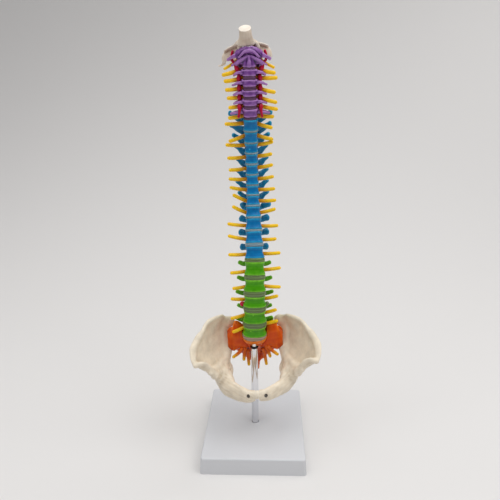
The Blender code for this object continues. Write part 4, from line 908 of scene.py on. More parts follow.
# %% [markdown]
# ## Discs
# A disc fills the room between two endplates and swells a little past their rims. The endplates lean
# against each other, so a drum would not fit: it is a loft from the outline below to the outline above,
# rounded at both edges. Every disc is its own soft piece here, in the chest too, where the plain solids
# carry it on the body below.

# %% Make every disc
NECK_DISC = 0.84        # width of a neck disc as a share of its bodies' width
DISC_SEAT = 0.05        # room left at each endplate
# Height through the disc, and width against the straight line between the two outlines
DISC_PROFILE = ((0.0, 0.95), (0.08, 0.99), (0.25, 1.01), (0.5, 1.03), (0.75, 1.01), (0.92, 0.99), (1.0, 0.95))
RUBBERS = {"C": neck_rubber, "T": chest_rubber, "L": loin_rubber}


def disc_mesh(low_outline, high_outline, low_place, high_place):
    """Disc from the outline on the endplate below to the one on the endplate above."""
    low = [low_place @ Vector((x, y, DISC_SEAT)) for x, y in low_outline]
    high = [high_place @ Vector((x, y, -DISC_SEAT)) for x, y in high_outline]
    centres = [sum(ring, Vector()) / len(ring) for ring in (low, high)]
    rings = []
    for level, share in DISC_PROFILE:
        centre = centres[0].lerp(centres[1], level)
        rings.append([centre + (a.lerp(b, level) - centre) * share for a, b in zip(low, high)])
    bm = bmesh.new()
    loft(bm, rings)
    return mesh_of(bm)


below = Vertebra("S1", SACRUM_TOP_WIDTH, SACRUM_TOP_DEPTH, 0, 0, SACRAL_SLOPE, 0)
below_top = pelvis_place() @ sacrum_top()
for vertebra in VERTEBRAE:
    place = places[vertebra.name]
    bottom = place @ Matrix.Translation((0, 0, -vertebra.height / 2))
    narrow = 0.98 if below.name == "S1" else top_share(below)
    neck = NECK_DISC if vertebra.name[0] == "C" else 1.0
    mesh = disc_mesh(oval(below.width * (narrow + 0.02) * neck, below.depth * neck),
                     oval(vertebra.width * neck, vertebra.depth * neck), below_top, bottom)
    name = "disc_" + below.name + "_" + vertebra.name
    rubber = sacral_rubber if below.name == "S1" else RUBBERS["L" if below.name == "L1" else vertebra.name[0]]
    fused_in_cad = below.name[0] == "T" and vertebra.name[0] == "T"
    add_piece("soft_" + name, mesh, rubber, [] if fused_in_cad else [name])
    below = vertebra
    below_top = place @ Matrix.Translation((0, 0, vertebra.height / 2))

# %% [markdown]
# ## The slipped disc
# Between L3 and L4 the model shows a slipped disc: on the body's right its dark red core has pushed out
# at the side and back, and on the left its rim bulges. Each is a lump with its own finish, set into the
# rim of that disc by a spot off the disc's middle.

# %% Lumps of the slipped disc
CORE_SPOT = Vector((-13.4, 2.2, 3.6))
CORE_RADII = (2.8, 3.4, 2.8)
BULGE_SPOT = Vector((13.6, 2.2, 3.4))
BULGE_RADII = (2.4, 3.0, 2.6)


def disc_lump(spot, radii, seed):
    """Uneven lump at a spot off the middle of the disc under L3."""
    bm = bmesh.new()
    lump(bm, planes["L3"][0] + spot, radii)
    return uneven(mesh_of(bm), 2.0, 0.3, seed)


add_piece("slipped_core", disc_lump(CORE_SPOT, CORE_RADII, 5), red_vinyl)
add_piece("disc_bulge", disc_lump(BULGE_SPOT, BULGE_RADII, 6), loin_rubber)

# %% [markdown]
# ## Tree for cord, nerves and arteries
# They are all soft tubes with round ends, so one tree of geometry nodes makes them. It takes lines of
# points, resamples each at an even spacing, sweeps a circle along it, and lets the radius close to a dome
# at both ends. The share of the way along is stored on the points, and the finish reads it for its
# colour.

# %% Tree that turns lines into round-ended tubes
DOME_REST = 1.02        # just over 1, so that the last ring isn't a point


def tube_tree():
    """Sweeps a circle along each line, with the line's own thickness and domed ends."""
    tree = bpy.data.node_groups.new("round_ended_tubes", "GeometryNodeTree")
    face = tree.interface
    face.new_socket("Lines", in_out="INPUT", socket_type="NodeSocketGeometry")
    face.new_socket("Sides", in_out="INPUT", socket_type="NodeSocketInt")
    face.new_socket("Spacing", in_out="INPUT", socket_type="NodeSocketFloat")
    face.new_socket("Finish", in_out="INPUT", socket_type="NodeSocketMaterial")
    face.new_socket("Tubes", in_out="OUTPUT", socket_type="NodeSocketGeometry")
    source = add_node(tree, "NodeGroupInput")
    lines = add_node(tree, "GeometryNodeMeshToCurve", inputs={"Mesh": source.outputs["Lines"]})
    fine = add_node(tree, "GeometryNodeResampleCurve", {"mode": "LENGTH"},
                    {"Curve": lines.outputs["Curve"], "Length": source.outputs["Spacing"]})
    walk = add_node(tree, "GeometryNodeSplineParameter")
    whole = add_node(tree, "GeometryNodeSplineLength")
    thick = add_node(tree, "GeometryNodeInputNamedAttribute", inputs={"Name": "thick"})
    to_end = add_node(tree, "ShaderNodeMath", {"operation": "SUBTRACT"},
                      {0: whole.outputs["Length"], 1: walk.outputs["Length"]})
    nearest = add_node(tree, "ShaderNodeMath", {"operation": "MINIMUM"},
                       {0: walk.outputs["Length"], 1: to_end.outputs["Value"]})
    short = add_node(tree, "ShaderNodeMath", {"operation": "DIVIDE", "use_clamp": True},
                     {0: nearest.outputs["Value"], 1: thick.outputs["Attribute"]})
    left = add_node(tree, "ShaderNodeMath", {"operation": "SUBTRACT"}, {0: 1.0, 1: short.outputs["Value"]})
    square = add_node(tree, "ShaderNodeMath", {"operation": "POWER"}, {0: left.outputs["Value"], 1: 2.0})
    rest = add_node(tree, "ShaderNodeMath", {"operation": "SUBTRACT"},
                    {0: DOME_REST, 1: square.outputs["Value"]})
    dome = add_node(tree, "ShaderNodeMath", {"operation": "SQRT"}, {0: rest.outputs["Value"]})
    radius = add_node(tree, "ShaderNodeMath", {"operation": "MULTIPLY"},
                      {0: dome.outputs["Value"], 1: thick.outputs["Attribute"]})
    share = add_node(tree, "GeometryNodeStoreNamedAttribute", {"data_type": "FLOAT", "domain": "POINT"},
                     {"Geometry": fine.outputs["Curve"], "Name": "along", "Value": walk.outputs["Factor"]})
    circle = add_node(tree, "GeometryNodeCurvePrimitiveCircle", inputs={"Resolution": source.outputs["Sides"],
                                                                        "Radius": 1.0})
    tubes = add_node(tree, "GeometryNodeCurveToMesh", inputs={"Curve": share.outputs["Geometry"],
                                                              "Profile Curve": circle.outputs["Curve"],
                                                              "Scale": radius.outputs["Value"],
                                                              "Fill Caps": True})
    real = add_node(tree, "GeometryNodeRealizeInstances", inputs={"Geometry": tubes.outputs["Mesh"]})
    coated = add_node(tree, "GeometryNodeSetMaterial", inputs={"Geometry": real.outputs["Geometry"],
                                                               "Material": source.outputs["Finish"]})
    add_node(tree, "NodeGroupOutput", inputs={"Tubes": coated.outputs["Geometry"]})
    return tree


TUBES = tube_tree()
print("the tube tree has", len(TUBES.nodes), "nodes")

# %% [markdown]
# ## Lines into tubes
# The lines go in as a mesh of loose edges, with a thickness on each point. Each input of the modifier is
# set by its socket's identifier, because names may repeat. The result is turned into a plain mesh, and
# the modifier goes with the object that held it.

# %% Tubes as a plain mesh
TUBE_SIDES = 16
TUBE_SPACING = 0.5


def tubes(name, paths, finish):
    """Plain mesh of round-ended tubes. Each path is a list of (point, radius)."""
    points, edges, thick = [], [], []
    for path in paths:
        rows = smooth_rows([(*point, radius) for point, radius in path], 6)
        start = len(points)
        points += [Vector(row[:3]) for row in rows]
        thick += [row[3] for row in rows]
        edges += [(k, k + 1) for k in range(start, len(points) - 1)]
    mesh = bpy.data.meshes.new(name)
    mesh.from_pydata(points, edges, [])
    mesh.attributes.new("thick", "FLOAT", "POINT").data.foreach_set("value", thick)
    holder = bpy.data.objects.new("holder", mesh)
    bpy.context.scene.collection.objects.link(holder)
    modifier = holder.modifiers.new("tubes", "NODES")
    modifier.node_group = TUBES
    for socket, value in (("Sides", TUBE_SIDES), ("Spacing", TUBE_SPACING), ("Finish", finish)):
        modifier[TUBES.interface.items_tree[socket].identifier] = value
    graph = bpy.context.evaluated_depsgraph_get()
    made = bpy.data.meshes.new_from_object(holder.evaluated_get(graph))
    bpy.data.objects.remove(holder, do_unlink=True)
    return made


print("a tube has", TUBE_SIDES, "sides and a ring every", TUBE_SPACING, "mm")

# %% [markdown]
# ## Tips of the nerve stubs
# A pair of stubs leaves the canal at every disc, and no two of them point quite the same way, because the
# soft vinyl was set by hand. A rule would make them too even, so each has its own tip, given from
# its own disc.

# %% Where the stubs end
# Tips of the stubs by the vertebra above them, right and left: across from the middle plane, forward of
# the cord, and up from the middle of the disc
NERVE_TIPS = {
    "C2": ((-28.8, 2.6, -5.7), (24.1, 2.6, -4.4)),
    "C3": ((-27.1, 2.6, -2.7), (26.0, 2.6, 0.0)),
    "C4": ((-26.1, 2.6, -1.2), (24.1, 2.6, -4.2)),
    "C5": ((-24.6, 2.6, -0.1), (25.7, 2.6, -5.0)),
    "C6": ((-23.4, 2.6, -0.7), (26.5, 2.6, -2.9)),
    "C7": ((-24.1, 2.6, -0.4), (22.8, 2.6, 0.4)),
    "T1": ((-27.9, 2.6, 6.4), (21.5, 2.6, 1.7)),
    "T2": ((-24.4, 2.6, 0.3), (22.1, 2.6, 1.8)),
    "T3": ((-27.9, 2.6, 7.6), (22.2, 2.6, 10.1)),
    "T4": ((-26.5, 2.6, 5.1), (21.3, 2.6, 9.0)),
    "T5": ((-25.4, 2.6, 3.7), (22.2, 2.6, 8.8)),
    "T6": ((-25.7, 2.6, 5.6), (23.1, 2.6, 7.6)),
    "T7": ((-24.9, 2.6, 7.3), (24.4, 2.6, 5.2)),
    "T8": ((-21.7, 2.6, 11.0), (25.3, 2.6, 4.1)),
    "T9": ((-22.5, 2.6, 11.0), (24.6, 2.6, 7.3)),
    "T10": ((-28.1, 2.6, 5.7), (27.3, 2.6, 2.8)),
    "T11": ((-27.8, 2.6, 8.0), (25.1, 2.6, 3.6)),
    "T12": ((-27.8, 2.6, 3.1), (29.2, 2.6, 4.4)),
    "L1": ((-26.2, 3.4, 1.5), (29.3, 3.4, 6.7)),
    "L2": ((-24.2, 3.4, 1.9), (29.2, 3.4, 2.9)),
    "L3": ((-26.3, 3.4, 7.4), (26.4, 3.4, 10.3)),
    "L4": ((-27.3, 3.4, 1.8), (24.8, 3.4, 12.2)),
    "L5": ((-25.5, 9.0, 3.1), (26.3, 3.4, 14.0)),
}
FIRST_NERVE = ((0.6, 9.4, -5.2), (9.0, 9.6, -6.6), (16.5, 8.6, -11.6), (25.0, 6.6, -16.2))
print("tips chosen:", 2 * len(NERVE_TIPS))

# %% [markdown]
# ## Cord and nerve stubs
# The cord runs behind the bodies, through the canal. A stub is a nearly straight line from a root inside
# the cord, through the gap between two arches, to its tip, and a little sag makes it look soft. The first
# nerve leaves between the atlas and the axis and goes round the atlas's side, so it has a path of its
# own.

# %% Run the cord and the nerve stubs
NERVE_RADIUS = 2.0
FIRST_NERVE_RADIUS = 1.4
TIP_TAPER = 0.15        # how much thinner a stub is at its tip
NERVE_SAG = 0.5         # how far the middle of a stub hangs off the straight line
NERVE_START = 0.6       # a stub's root from the middle of the cord
CORD_BEHIND_BODY = 0.5


def nerve_root(centre, tip, region):
    """Start of a stub inside the cord, on a line that leaves the arch near its exit's middle."""
    share = (region.exit - abs(centre.x)) / abs(tip.x - centre.x)
    off_middle = max(-region.slack, min(region.slack, (tip.z - centre.z) * share))
    leave = centre.lerp(tip, share)
    leave.z = centre.z + off_middle
    back = (abs(leave.x - centre.x) - NERVE_START) / abs(tip.x - leave.x)
    return leave + (leave - tip) * back


cord_path = []
stubs = []
for vertebra in VERTEBRAE:
    region = REGIONS[vertebra.name[0]]
    point, normal = planes[vertebra.name]
    back = places[vertebra.name].to_3x3() @ Vector((0, 1, 0))
    back = (back - normal * back.dot(normal)).normalized()
    centre = point + normal * region.nerve_rise + back * (vertebra.depth / 2 + CORD_BEHIND_BODY + region.cord)
    cord_path.append((centre, region.cord))
    for across, forward, up in NERVE_TIPS[vertebra.name]:
        tip = Vector((across, centre.y - forward, point.z + up))
        root = nerve_root(centre, tip, region)
        middle = root.lerp(tip, 0.6) - Vector((0, 0, NERVE_SAG))
        stubs.append([(root, NERVE_RADIUS), (middle, NERVE_RADIUS), (tip, NERVE_RADIUS - TIP_TAPER)])
for side in (1, -1):
    stubs.append([(atlas_place @ Vector((side * x, y, z)), FIRST_NERVE_RADIUS) for x, y, z in FIRST_NERVE])
cord_path.append((atlas_place @ Vector((0, 8.4, 0)), 2.2))
nerve_mesh = tubes("spinal_nerves", [cord_path] + stubs, nerve_vinyl)
add_piece("soft_cord_and_nerves", nerve_mesh, nerve_vinyl, ["spinal_cord"])
print("nerve stubs made:", len(stubs))

# %% [markdown]
# ## Arteries of the neck
# A red artery climbs through the holes in the neck's wings on each side. A tube of one thickness would
# hardly show, so it is squeezed in each hole and swells between the wings, as the soft vinyl does. The
# same tree makes it.

# %% Run the arteries
ARTERY_RADIUS = 1.3
ARTERY_SWELL = 2.3


def artery_path(side):
    """Points up one side, narrow in each wing and swollen between two wings."""
    path = [(places["C7"] @ Vector((side * (ARTERY_SIDE + 1.6), -2.8, -4.6)), ARTERY_RADIUS),
            (places["C7"] @ Vector((side * (ARTERY_SIDE + 0.4), -2.2, 2.0)), ARTERY_RADIUS)]
    for level in reversed(ARTERY_LEVELS):
        out = AXIS_ARTERY_SIDE if level == "C2" else ARTERY_SIDE
        hole = places[level] @ Vector((side * out, ARTERY_BACK, 0))
        path.append(((path[-1][0] + hole) / 2, ARTERY_SWELL))
        path.append((hole, ARTERY_RADIUS))
    path.append((atlas_place @ Vector((side * ATLAS_ARTERY_SIDE, 3.8, -8.4)), ARTERY_RADIUS))
    path.append((atlas_place @ Vector((side * ATLAS_ARTERY_SIDE, 3.8, -3.2)), ARTERY_RADIUS))
    path.append((atlas_place @ Vector((side * (ATLAS_ARTERY_SIDE - 1.2), 3.6, 0.6)), ARTERY_RADIUS))
    return path


for side, name in ((1, "left"), (-1, "right")):
    mesh = tubes("artery_" + name, [artery_path(side)], red_vinyl)
    add_piece("soft_artery_" + name, mesh, red_vinyl, ["vertebral_artery_" + name])
print("each artery runs through", len(ARTERY_LEVELS), "holes")

# %% [markdown]
# ## Skull piece
# The piece of skull at the top is the part that the neck joins: a stub in front, cut off slanting, two
# rounded knuckles on the atlas, and a shield with turned-up rims behind. It is laid up from bars like the
# bones below it, and only the slanting cut is a Boolean, because that face was sawn flat and has to stay
# crisp.

# %% Make the skull piece
SKULL_ROLL = 5.0        # degrees the piece dips to its right
SKULL_SHIFT = (-2.4, 0.0, 1.2)
SKULL_CUT = (0.0, -8.5, 16.5)
SKULL_CUT_TILT = 38.0
SKULL_KNUCKLES = {1: (11.4, 2.4, -0.4), -1: (-6.6, 2.4, 0.75)}
SKULL_GRAIN = 0.55


def skull_mesh():
    """Skull piece about the atlas's middle: a stub in front, a shield behind and a hole between."""
    bm = bmesh.new()
    bar(bm, [(0.4, -2.6, 4.8), (0.6, -4.2, 8.6), (0.7, -6.8, 13.2), (0.9, -8.6, 24.0)],
        [(9.6, 3.2), (7.0, 4.0), (6.0, 4.8), (5.9, 4.8)])
    for side in (1, -1):
        knuckle = SKULL_KNUCKLES[side]
        bar(bm, [(knuckle[0] - side, knuckle[1] - 0.4, 3.8), Vector(knuckle) + Vector((0, 0, 1.2))],
            [(2.4, 2.8), (2.2, 2.6)])
        bar(bm, [(side * 4.0, -1.0, 6.4), (side * 10.0, 3.6, 4.6), (side * 12.0, 12.0, 3.4),
                 (side * 7.0, 21.0, 2.2), (0, 24.0, 1.4)],
            [(2.2, 1.6), (2.4, 1.5), (2.6, 1.4), (2.6, 1.4), (2.6, 1.4)], across=(1, -0.4, 0))
        bar(bm, [(side * 5.4, 0.4, 7.8), (side * 8.4, 3.4, 6.2), (side * 12.2, 6.0, 3.8),
                 (side * 17.0, 7.6, 2.6), (side * 21.0, 8.8, 0.8)],
            [(2.2, 1.4), (2.6, 1.3), (3.0, 1.2), (3.0, 1.1), (2.6, 1.0)], across=(0, 1, -0.3))
        bar(bm, [(side * 7.0, 4.6, 2.8), (side * 14.0, 7.6, -0.4), (side * 20.4, 9.4, -3.8),
                 (side * 23.4, 10.0, -8.6)],
            [(4.2, 1.3), (4.0, 1.2), (4.8, 1.2), (2.2, 1.1)], across=(0, 0.2, 1))
        bar(bm, [(side * 19.6, 10.0, -2.6), (side * 18.0, 15.0, -2.8), (side * 13.0, 22.0, -3.6),
                 (0, 26.0, -5.0)],
            [(4.0, 1.3), (5.6, 1.2), (7.0, 1.2), (8.0, 1.3)], across=(0, 0.5, 1))
    bar(bm, [(-22.6, 10.4, -9.8), (-26.0, 12.0, -11.0), (-28.4, 12.4, -11.2)],
        [(1.6, 1.1), (1.2, 1.0), (0.9, 0.9)])
    slab = box((-20, -20, 0), (20, 30, 30))
    slab.transform(Matrix.Translation(SKULL_CUT) @ Matrix.Rotation(math.radians(SKULL_CUT_TILT), 4, "X"))
    skin = uneven(fused(bm, SKULL_GRAIN, 7), 6.0, 0.3, 2)
    return combine(skin, slab, "DIFFERENCE")


skull_dip = Matrix.Rotation(math.radians(-SKULL_ROLL), 4, "Y")
skull_place = atlas_place @ Matrix.Translation(SKULL_SHIFT) @ skull_dip
add_piece("moulded_skull_piece", skull_mesh(), skull_vinyl, ["occipital_bone"], skull_place, 40.0)

# %% [markdown]
# ## Room for the rod in the sacrum
# The rod's thinner neck runs up into the sacrum, and the rod's end with its ring sits under it. So two
# cylinders on the rod's axis are joined into one cutter. The pelvis dips to one side, and the cutter is
# turned the other way first, because the sacrum is modelled straight.

# %% Cutter for the rod's neck and ring
ROD_SIDE = -1.0
ROD_TOP = 116.5
STUD_RADIUS = 2.7
WASHER_RADIUS = 4.6
WASHER_HEIGHT = 1.5
WASHER_ROOM = 0.9
STUD_TOP = SACRUM_TOP[2] - 5.0


def rod_hole():
    """Room in the sacrum for the rod's neck, and below it for the rod's end and its washer."""
    axis = Matrix.Translation((ROD_SIDE, 0, 0))
    hole = cylinder(STUD_RADIUS + SEAT_GAP, ROD_TOP - 20, STUD_TOP + SEAT_GAP, 32, axis)
    room_top = ROD_TOP + WASHER_HEIGHT + 2 * SEAT_GAP
    room = cylinder(WASHER_RADIUS + WASHER_ROOM, ROD_TOP - 30, room_top, 32, axis)
    hole = combine(hole, room, "UNION")
    hole.transform(pelvis_place().inverted())
    return hole


print("the rod's neck goes", round(STUD_TOP - ROD_TOP, 1), "mm up into the sacrum")

# %% [markdown]
# ## Skin of the sacrum
# The sacrum is five bones grown together: a broad wedge with a wing on each side, a crest down its back,
# four pairs of holes and the small tail of the coccyx. Its skin is a function of its own, because the
# hips are cut by the same skin later and so fit round its wings.

# %% Bars, lumps and pits of the sacrum
SACRUM_GRAIN = 0.7
SACRAL_HOLES = ((13.4, 119.0), (11.6, 112.4), (9.6, 105.6), (7.8, 99.6))


def sacrum_skin():
    """The sacrum without its top plate and the rod's hole."""
    bm = bmesh.new()
    top = sacrum_top()
    bar(bm, [top @ Vector((0, 0, -3.4)), top @ Vector((0, 0.6, -8.0)), (0, 15.0, 112.0), (0, 21.6, 103.0),
             (0.6, 24.0, 94.0), (1.6, 22.0, 85.0), (2.2, 18.6, 79.0)],
        [(12.6, 7.8), (11.8, 8.0), (10.0, 5.6), (8.0, 4.4), (6.0, 3.2), (3.4, 2.2), (1.5, 1.3)])
    for side in (1, -1):
        bar(bm, [(side * 4.0, 10.6, 121.6), (side * 11.0, 10.4, 122.6), (side * 17.0, 10.4, 124.6),
                 (side * 22.0, 11.0, 125.8), (side * 25.0, 12.0, 126.0), (side * 27.6, 13.4, 126.6),
                 (side * 29.6, 14.8, 127.8), (side * 30.8, 15.6, 128.6)],
            [(6.6, 8.6), (6.8, 11.0), (7.2, 16.0), (7.6, 19.2), (7.4, 18.4), (6.6, 15.6), (5.0, 11.6),
             (2.6, 8.4)],
            across=(0, 1, 0), sides=28)
        bar(bm, [(side * 19.0, 14.0, 117.0), (side * 15.0, 18.4, 108.0), (side * 10.0, 23.4, 97.0),
                 (side * 4.0, 23.4, 88.0)],
            [(10.0, 6.0), (9.0, 4.8), (5.0, 3.2), (2.2, 2.0)])
        bar(bm, [(side * 8.6, 15.0, 127.0), (side * 9.2, 16.2, 133.6)], [(2.6, 2.0), (2.0, 1.8)])
    bar(bm, [(0, 17.0, 128.4), (0, 23.0, 118.0), (0, 27.0, 107.0), (0, 27.0, 97.0)],
        [(2.6, 2.4), (2.4, 2.4), (2.2, 2.0), (1.8, 1.4)])
    for level, (y, z) in enumerate(((19.6, 126.6), (24.6, 117.6), (28.2, 108.0), (28.4, 99.0))):
        lump(bm, (0, y, z), (1.8, 3.4 - 0.4 * level, 3.4 - 0.4 * level))
    pits = bmesh.new()
    for x, z in SACRAL_HOLES:
        for side in (1, -1):
            lump(pits, (side * x, 30.0 - (z - 96.0) * 0.25, z), (1.7, 5.0, 1.5))
            lump(pits, (side * (x - 1.0), 12.0 - (z - 119.0) * 0.5, z + 1.0), (1.9, 5.0, 1.6))
    cuts = [mesh_of(pits)]
    for low_x, high_x in ((SACRUM_HALF_WIDTH, 60), (-60, -SACRUM_HALF_WIDTH)):
        cuts.append(box((low_x, -30, 60), (high_x, 60, 160)))
    front = box((-14.0, -12.5, -4), (14.0, 11.5, 30))
    front.transform(top)
    cuts.append(front)
    return uneven(fused(bm, SACRUM_GRAIN, 9, cuts), 7.0, 0.6, 3)


print("pairs of holes in the sacrum:", len(SACRAL_HOLES))

# %% [markdown]
# ## The finished sacrum
# The seat of the lowest disc is a flat plate with the same outline as a body. It is joined on after the
# smoothing, which would have rounded it, and the rod's room is cut last.

# %% Make the sacrum
def sacrum_mesh():
    """Skin, plate on top and the rod's room, in the pelvis's own coordinates."""
    top = sacrum_top()
    plate = bmesh.new()
    shares = ((-6, 0.9), (-4, 0.97), (-1.2, 1.0), (-0.4, 1.0), (0, 0.97))
    outline = oval(SACRUM_TOP_WIDTH, SACRUM_TOP_DEPTH)
    loft(plate, [[top @ Vector((x * share, y * share, z)) for x, y in outline] for z, share in shares])
    skin = combine(sacrum_skin(), mesh_of(plate), "UNION")
    return combine(skin, rod_hole(), "DIFFERENCE")


add_piece("moulded_sacrum", sacrum_mesh(), orange_vinyl, ["sacrum"], pelvis_place())

# %% [markdown]
# ## Sacral nerve strips
# Below the sacrum its own nerves fan out, orange like the bone at their roots and yellow at their ends.
# The tube tree makes them too, and each has a root, a middle and an end, given one by one.

# %% Run the sacral nerve strips
# Root, middle and end of each strip, first those of the body's right side
SACRAL_NERVES = (((-14.6, 5.6, 114.0), (-19.4, 6.4, 107.0), (-27.0, 4.0, 102.2)),
                 ((-11.4, 6.4, 113.6), (-13.2, 8.4, 104.0), (-14.0, 8.0, 95.6)),
                 ((-8.6, 7.6, 110.0), (-8.8, 10.2, 100.0), (-8.3, 10.0, 87.8)),
                 ((14.1, 5.6, 116.6), (18.6, 6.4, 109.0), (26.3, 4.0, 103.6)),
                 ((11.3, 6.4, 116.0), (14.6, 8.4, 107.0), (17.1, 8.0, 98.6)),
                 ((8.4, 7.6, 111.0), (10.6, 10.2, 100.0), (12.3, 10.0, 87.7)))
STRIP_RADII = (2.0, 2.0, 1.7)
strips = [list(zip(spots, STRIP_RADII)) for spots in SACRAL_NERVES]
add_piece("soft_sacral_nerves", tubes("sacral_nerves", strips, sacral_vinyl), sacral_vinyl,
          place=pelvis_place())

# %% [markdown]
# ## Wing of the hip
# Each hip is a hollow wing above, a deep socket in the middle and two bars below that meet round an
# opening. The wing could be laid up from bars too, but its hollow has to be one clean sweep. So it is a
# sheet stretched between the crest and the brim of the pelvis, hollowed by a sine and thickened. Both
# sides are made on the left's coordinates.

# %% Sheet of the wing
CREST = [(33.5, 25, 137), (35, 20, 145), (37.5, 14, 149.0), (45, 7, 149.2), (53, 0, 147.2), (58, -8, 142.8),
         (62.6, -15, 138), (66.0, -22, 133.2), (67.2, -28, 128.0), (66.8, -34, 122.8), (64.8, -38, 118.8)]
BRIM = [(34, 26, 132), (34.4, 22, 126), (34.6, 17, 119), (34.8, 12, 112), (35.2, 6, 106), (36, 0, 101.5),
        (37, -6, 98.5), (39, -13, 96), (42, -19, 96.5), (46, -24, 99), (50, -29, 104)]
WING_THICKNESS = 3.6
WING_HOLLOW = Vector((2.8, 2.8, -2.2))
WING_STEPS = 14
CREST_LIFT = 2.2        # how much higher the right crest stands towards the back


def crest_of(side):
    """Points of the crest, for the left (1) or the right (-1)."""
    lift = CREST_LIFT if side < 0 else 0.0
    return [(x, y, z + (lift if 140 < z and x < 56 else 0.0)) for x, y, z in CREST]


def wing_mesh(side):
    """Sheet between the crest and the brim, hollowed on its inner side and thickened."""
    crest, brim = smooth_rows(crest_of(side), 3), smooth_rows(BRIM, 3)
    bm = bmesh.new()
    rows = []
    for rim, root in zip(crest, brim):
        rim, root = Vector(rim), Vector(root)
        steps = [k / WING_STEPS for k in range(WING_STEPS + 1)]
        deep = WING_HOLLOW * (1 - (len(rows) / len(crest)) ** 3)
        rows.append([bm.verts.new(root.lerp(rim, t) + deep * math.sin(math.pi * t)) for t in steps])
    for low, high in zip(rows, rows[1:]):
        for k in range(WING_STEPS):
            bm.faces.new((low[k], low[k + 1], high[k + 1], high[k]))
    return with_modifiers(mesh_of(bm), ("SOLIDIFY", {"thickness": WING_THICKNESS, "offset": 0.0}))


print("the crest runs through", len(CREST), "points, from", CREST[0], "to", CREST[-1])

# %% [markdown]
# ## Skin of the hip
# Bars along the crest, the brim and the lower limbs are laid over the wing, and lumps over the socket and
# the seat bone. The low bar to the pubis has a table for each side, because it shows from the front and
# its two sides differ. One skin goes over everything, and a ball cuts the socket.

# %% Bars, lumps and socket of the hip
HIP_CENTRE = (42.0, -11.0, 91.0)
SOCKET_AXIS = (0.86, -0.42, -0.30)
SOCKET_RADIUS = 10.0
SOCKET_OUT = 13.0
HIP_GRAIN = 0.8
# Lower bar of the hip from the socket to the pubis: centre, then its two half-sizes. The body's right one
# is the deeper of the two.
RAMUS = {
    1: [((37, -13, 87.4), (8.0, 10.4)), ((31, -22, 81.6), (5.6, 9.6)), ((24, -28, 80.4), (4.8, 8.8)),
        ((16, -34, 80.2), (4.4, 8.4)), ((9, -38.8, 80.0), (4.2, 8.0)), ((1, -41.0, 82.2), (3.8, 4.8))],
    -1: [((37, -13, 87.0), (8.0, 11.0)), ((31, -22, 80.4), (5.8, 11.0)), ((24, -28, 78.8), (5.0, 10.6)),
         ((16, -34, 78.8), (4.6, 9.8)), ((9, -38.8, 79.2), (4.4, 8.4)), ((1, -41.0, 82.2), (3.8, 4.8))],
}


def hip_skin(side):
    """One hip, made on the left side's coordinates, before its flat faces are cut."""
    bm = bmesh.new()
    bm.from_mesh(wing_mesh(side))
    bar(bm, crest_of(side), [(1.9, 1.9)] * 3 + [(2.0, 2.6)] * 3 + [(2.3, 4.4)] * 3 + [(2.3, 4.0), (2.0, 2.6)],
        across=(-0.5, -0.5, 0.7), steps=3)
    bar(bm, [(38.4, 17.6, 140.6), (33.0, 20.4, 139.2), (28.0, 22.0, 139.4), (24.6, 23.6, 139.0)],
        [(2.8, 8.4), (3.4, 8.6), (3.4, 7.4), (3.0, 5.6)], across=(0, 1, 0))
    bar(bm, [(34.8, 22.6, 136), (34.2, 20.4, 127), (33.4, 17.0, 117), (33.6, 11.4, 109), (35.6, 4, 101.5)],
        [(4.6, 4.4), (5.0, 5.2), (6.2, 6.0), (6.8, 6.4), (6.6, 6.8)])
    bar(bm, [(40.6, 17.8, 143), (40.4, 17.4, 136), (40.0, 15.2, 127), (39.2, 11.8, 117), (38.4, 6.4, 109)],
        [(5.2, 2.6), (5.6, 2.8), (5.8, 3.0), (5.8, 3.2), (5.4, 3.6)])
    bar(bm, BRIM[2:], [(3.6, 3.8), (3.8, 4.0), (4.2, 4.4), (4.6, 4.8), (4.8, 5.2), (4.8, 5.2), (4.6, 4.8),
                       (4.2, 4.4), (3.6, 3.6)], steps=3)
    bar(bm, [(36, 6, 104.5), (38.8, -4, 102.6), (43, -13, 101.6), (48, -21, 103)],
        [(4.4, 4.0), (4.8, 4.2), (4.8, 4.2), (4.0, 3.8)])
    bar(bm, [(64.8, -38.2, 118.2), (57.2, -33.4, 117.8), (52.0, -29.6, 112.0), (48.6, -27, 104.5),
             (45.6, -24.6, 97.5)],
        [(2.6, 3.2), (2.4, 3.0), (2.8, 3.6), (3.2, 4.2), (4.6, 5.2)], across=(0, 1, 0))
    lump(bm, (49.4, -28.4, 104.4), (3.2, 3.2, 3.8))
    lump(bm, (38.4, -9.0, 91.0), (8.8, 12.4, 11.0))
    lump(bm, HIP_CENTRE, (10.8, 12.6, 11.6))
    spots, radii = zip(*RAMUS[side])
    bar(bm, spots, radii, across=(0, 1, 0), sides=24)
    bar(bm, [(4, -39.4, 77.6), (11, -35.0, 75.6), (18, -27.0, 72.4), (25, -16, 66.6), (30, -4, 61.6)],
        [(3.2, 4.0), (3.0, 4.2), (2.6, 3.8), (2.8, 3.4), (3.6, 4.0)], across=(0, 1, 0))
    bar(bm, [(40, -6, 84), (37.4, 2, 75), (34.4, 6, 67), (31.4, 3, 62)],
        [(7.4, 7.4), (5.8, 6.0), (5.8, 6.2), (4.4, 4.8)])
    lump(bm, (33, 5.4, 63), (5.0, 6.4, 5.6))
    bar(bm, [(36, 6, 103), (33.0, 3.0, 96), (29.2, 1.2, 89.4), (30.4, -3, 83.4)],
        [(4.0, 5.0), (3.6, 4.6), (3.0, 4.0), (3.4, 4.4)])
    lump(bm, (34.0, 26, 131), (3.4, 4.6, 5.0))
    lump(bm, (34.0, 23, 120), (3.2, 4.0, 4.0))
    ball = bmesh.new()
    socket = Vector(HIP_CENTRE) + Vector(SOCKET_AXIS).normalized() * SOCKET_OUT
    bmesh.ops.create_icosphere(ball, subdivisions=4, radius=SOCKET_RADIUS, matrix=Matrix.Translation(socket))
    return fused(bm, HIP_GRAIN, 24, [mesh_of(ball)])


print("the socket is", 2 * SOCKET_RADIUS, "mm across")

